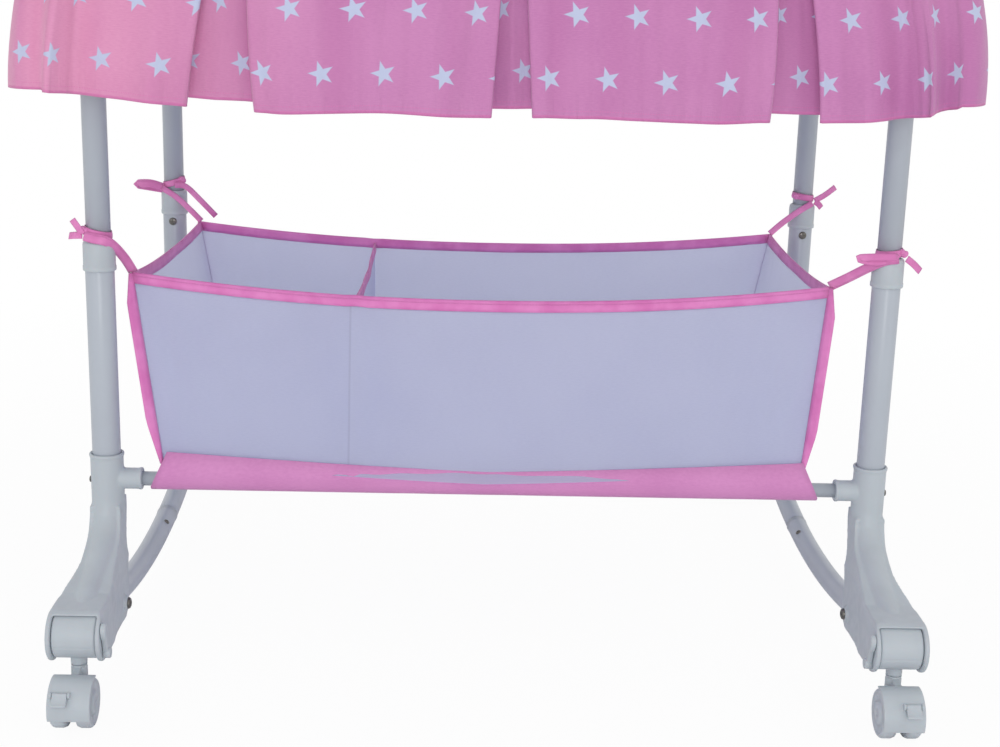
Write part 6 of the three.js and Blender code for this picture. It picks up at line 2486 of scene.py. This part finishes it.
@dataclass
class Ties(Maker):
    """Pink ribbons that tie the basket's corners to the legs."""

    tube_radius: float = 0.0127
    loop_width: float = 0.0085
    loop_gap: float = 0.0008
    loop_steps: int = 40
    flat_width: float = 0.01
    crown: float = 0.04
    thickness: float = 0.0006
    knot_radius: float = 0.0046
    knot_gap: float = 0.0030
    knot_forward: float = -0.75
    knot_turn: float = 0.5

    def loop(self, corner: Corner, tie: Tie) -> None:
        """Band round the leg, a little aslant.

        Args:
            corner: the leg's corner.
            tie: sizes of its tie.
        """
        centre, steps = self.stand.at(corner), self.loop_steps
        rows, flat = [], []
        for across in shares_between(4, 0):
            rise = tie.height + (across - 0.5) * self.loop_width
            radius = self.tube_radius + self.loop_gap + 0.0006 * (1 - (2 * across - 1) ** 2)
            around = circle(radius, steps)
            rows.append([centre + Vector((x, y, rise + tie.slant * x / radius)) for x, y in around])
            flat.append([(0.085 * step / steps, self.loop_width * across) for step in range(steps + 1)])
        node = corner.node("basket_tie")
        loop = thickened(grid(f"look_{node}", rows, True, flat), self.thickness)
        dress(loop, self.finishes.ribbon, "stand", (node,))

    def knot(self, corner: Corner, tie: Tie) -> None:
        """Small tight knot: a turned bead pinched by a crossing turn.

        Args:
            corner: the leg's corner.
            tie: sizes of its tie.
        """
        side = math.cos(math.radians(tie.knot_angle))
        toward = Vector((side, self.knot_forward, 0)).normalized()
        place = self.stand.at(corner) + toward * (self.tube_radius + self.knot_gap)
        place += UP * (tie.height + tie.slant * side)
        body = bmesh.new()
        bmesh.ops.create_icosphere(body, subdivisions=4, radius=self.knot_radius)
        for vertex in body.verts:
            x, y, z = vertex.co
            twist = 0.10 * math.sin(3 * math.atan2(z, y) + x / self.knot_radius)
            pinch = 1 - 0.22 * bell(x, 0.28 * self.knot_radius) + twist
            vertex.co = Vector((x * 1.15, y * pinch * 0.85, z * pinch))
        mesh = bpy.data.meshes.new("knot")
        body.to_mesh(mesh)
        body.free()
        places = [part for loop in mesh.loops for part in mesh.vertices[loop.vertex_index].co.xz]
        mesh.uv_layers.new(name="cloth").data.foreach_set("uv", places)
        mesh.transform(Matrix.Translation(place) @ Matrix.Rotation(self.knot_turn, 4, "Y"))
        dress(linked(corner.node("tie_knot"), mesh), self.finishes.ribbon, "stand")

    def ribbon(self, name: str, points: Sequence[Vector], strip: Strip) -> Body:
        """Flat ribbon along a smooth path, one layer thick, with places on its flat cloth.

        Args:
            name: object name.
            points: middle of the ribbon.
            strip: how its face looks, and its width.

        Returns:
            The ribbon.
        """
        path, facing = smooth_path(points), Vector(strip.facing).normalized()
        shares = shares_between(4, -0.5, 0.5)
        rows = []
        for index, point in enumerate(path):
            along = (path[min(index + 1, len(path) - 1)] - path[max(index - 1, 0)]).normalized()
            across = along.cross(facing).normalized()
            crown = across.cross(along).normalized() * self.crown
            ways = [(across * share + crown * (1 - 4 * share**2)) * strip.width for share in shares]
            rows.append([point + way for way in ways])
        heights = [strip.width * (share + 0.5) for share in shares]
        flat = [[(length, height) for height in heights] for length in lengths_along(path)]
        return grid(name, rows, flat=flat)

    def build(self) -> None:
        """Makes the ties of the four corners."""
        for corner, tie in TIES.items():
            self.loop(corner, tie)
            self.knot(corner, tie)
            for index, strip in enumerate(tie.strips):
                points = [self.stand.at(corner) + Vector(point) for point in strip.points]
                piece = thickened(self.ribbon(f"tie_{corner.label}_{index}", points, strip), self.thickness)
                dress(piece, self.finishes.ribbon, "stand")
                length, carrier = lengths_along(points)[-1], f"look_{corner.node('basket_tie')}"


# Studio


@dataclass(frozen=True)
class Lamp:
    """A large soft panel of light that looks at the middle of the cradle."""

    name: str
    place: tuple[float, float, float]
    size: float
    power: float
    tone: tuple[float, float, float] = (1.0, 1.0, 1.0)


@dataclass
class Studio:
    """Floor, light and camera of the photograph."""

    lens: float = 54.85
    sensor: float = 36
    place: tuple[float, float, float] = (-0.0388, -1.7966, 0.7227)
    pitch: float = 13.944
    roll: float = 1.523
    yaw: float = 1.657
    floor_half: float = 7
    floor_tone: Colour = (0.9, 0.9, 0.9, 1)
    near_white: float = 0.95
    white_from: float = 0.9
    white_to: float = 2.0
    sky: float = 0.78
    middle: tuple[float, float, float] = (0, 0, 0.45)
    lamps: tuple[Lamp, ...] = (
        Lamp("key", (-1.6, -2.4, 1.3), 1.8, 5),
        Lamp("fill", (2.2, -1.8, 0.9), 1.8, 3, (1.0, 0.99, 0.98)),
        Lamp("front", (0, -5, 1.2), 1.6, 30),
    )

    def camera(self) -> None:
        """Camera at the photograph's place."""
        data = bpy.data.cameras.new("camera")
        data.lens, data.sensor_width = self.lens, self.sensor
        data.dof.use_dof = False
        pitch, roll, yaw = (math.radians(angle) for angle in (self.pitch, self.roll, self.yaw))
        level = Vector((math.sin(yaw), math.cos(yaw), 0))
        forward = level * math.cos(pitch) - UP * math.sin(pitch)
        right = Vector((math.cos(yaw), -math.sin(yaw), 0))
        up = right.cross(forward)
        rolled_right = right * math.cos(roll) + up * math.sin(roll)
        rolled_up = up * math.cos(roll) - right * math.sin(roll)
        matrix = Matrix((rolled_right, rolled_up, -forward)).transposed().to_4x4()
        matrix.translation = Vector(self.place)
        camera = bpy.data.objects.new("camera", data)
        camera.matrix_world = matrix
        bpy.context.scene.collection.objects.link(camera)
        bpy.context.scene.camera = camera

    def floor(self) -> None:
        """Plain pale floor that keeps the cradle's shadow and turns white farther out."""
        half = self.floor_half
        corners = [[Vector((x, y, 0)) for x in (-half, half)] for y in (-half, half)]
        plane = grid("floor", corners)
        material = bpy.data.materials.new("floor")
        material.use_nodes = True
        wiring = Wiring(material.node_tree)
        length = wiring.node("VectorMath", wiring.node("TexCoord").outputs["Object"])
        length.operation = "LENGTH"
        reach = length.outputs["Value"]
        far = wiring.node("MapRange", reach, self.white_from, self.white_to, self.near_white, 1).outputs[0]
        share = wiring.node("Math", far, wiring.node("LightPath").outputs["Is Camera Ray"])
        share.operation = "MULTIPLY"
        grey, white = wiring.node("BsdfDiffuse", Color=self.floor_tone), wiring.node("Emission")
        mixed = wiring.node("MixShader", share.outputs[0], grey.outputs[0], white.outputs[0])
        wiring.node("OutputMaterial", Surface=mixed.outputs[0])
        plane.data.materials.append(material)

    def world(self) -> None:
        """Even grey light from all round, seen as white."""
        world = bpy.data.worlds.new("studio")
        world.use_nodes = True
        wiring = Wiring(world.node_tree)
        soft, white = (wiring.node("Background", (1, 1, 1, 1), strength) for strength in (self.sky, 1))
        seen = wiring.node("LightPath").outputs["Is Camera Ray"]
        mixed = wiring.node("MixShader", seen, soft.outputs[0], white.outputs[0])
        wiring.node("OutputWorld", Surface=mixed.outputs[0])
        bpy.context.scene.world = world

    def light(self, lamp: Lamp) -> None:
        """Large soft panel of light.

        Args:
            lamp: its place, size and power.
        """
        data = bpy.data.lights.new(lamp.name, "AREA")
        data.size, data.energy, data.color = lamp.size, lamp.power, lamp.tone
        obj = bpy.data.objects.new(lamp.name, data)
        obj.location = lamp.place
        obj.rotation_euler = (Vector(self.middle) - obj.location).to_track_quat("-Z", "Y").to_euler()
        bpy.context.scene.collection.objects.link(obj)

    def build(self) -> None:
        """Sets up the studio."""
        bpy.context.scene.view_settings.view_transform = "Standard"
        self.camera()
        self.floor()
        self.world()
        for lamp in self.lamps:
            self.light(lamp)


def main() -> None:
    """Builds the cradle on its frame."""
    logging.basicConfig(level=logging.INFO, format="%(name)s: %(message)s")
    bpy.ops.object.select_all(action="SELECT")
    bpy.ops.object.delete()
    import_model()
    finishes, stand = Finishes(), Stand()
    for maker in (Tubework, Joins, Screws, Foot, Fold, Casters, Bed, Skirt, Basket, Ties):
        maker(finishes, stand).build()
    Studio().build()


if __name__ == "__main__":
    main()
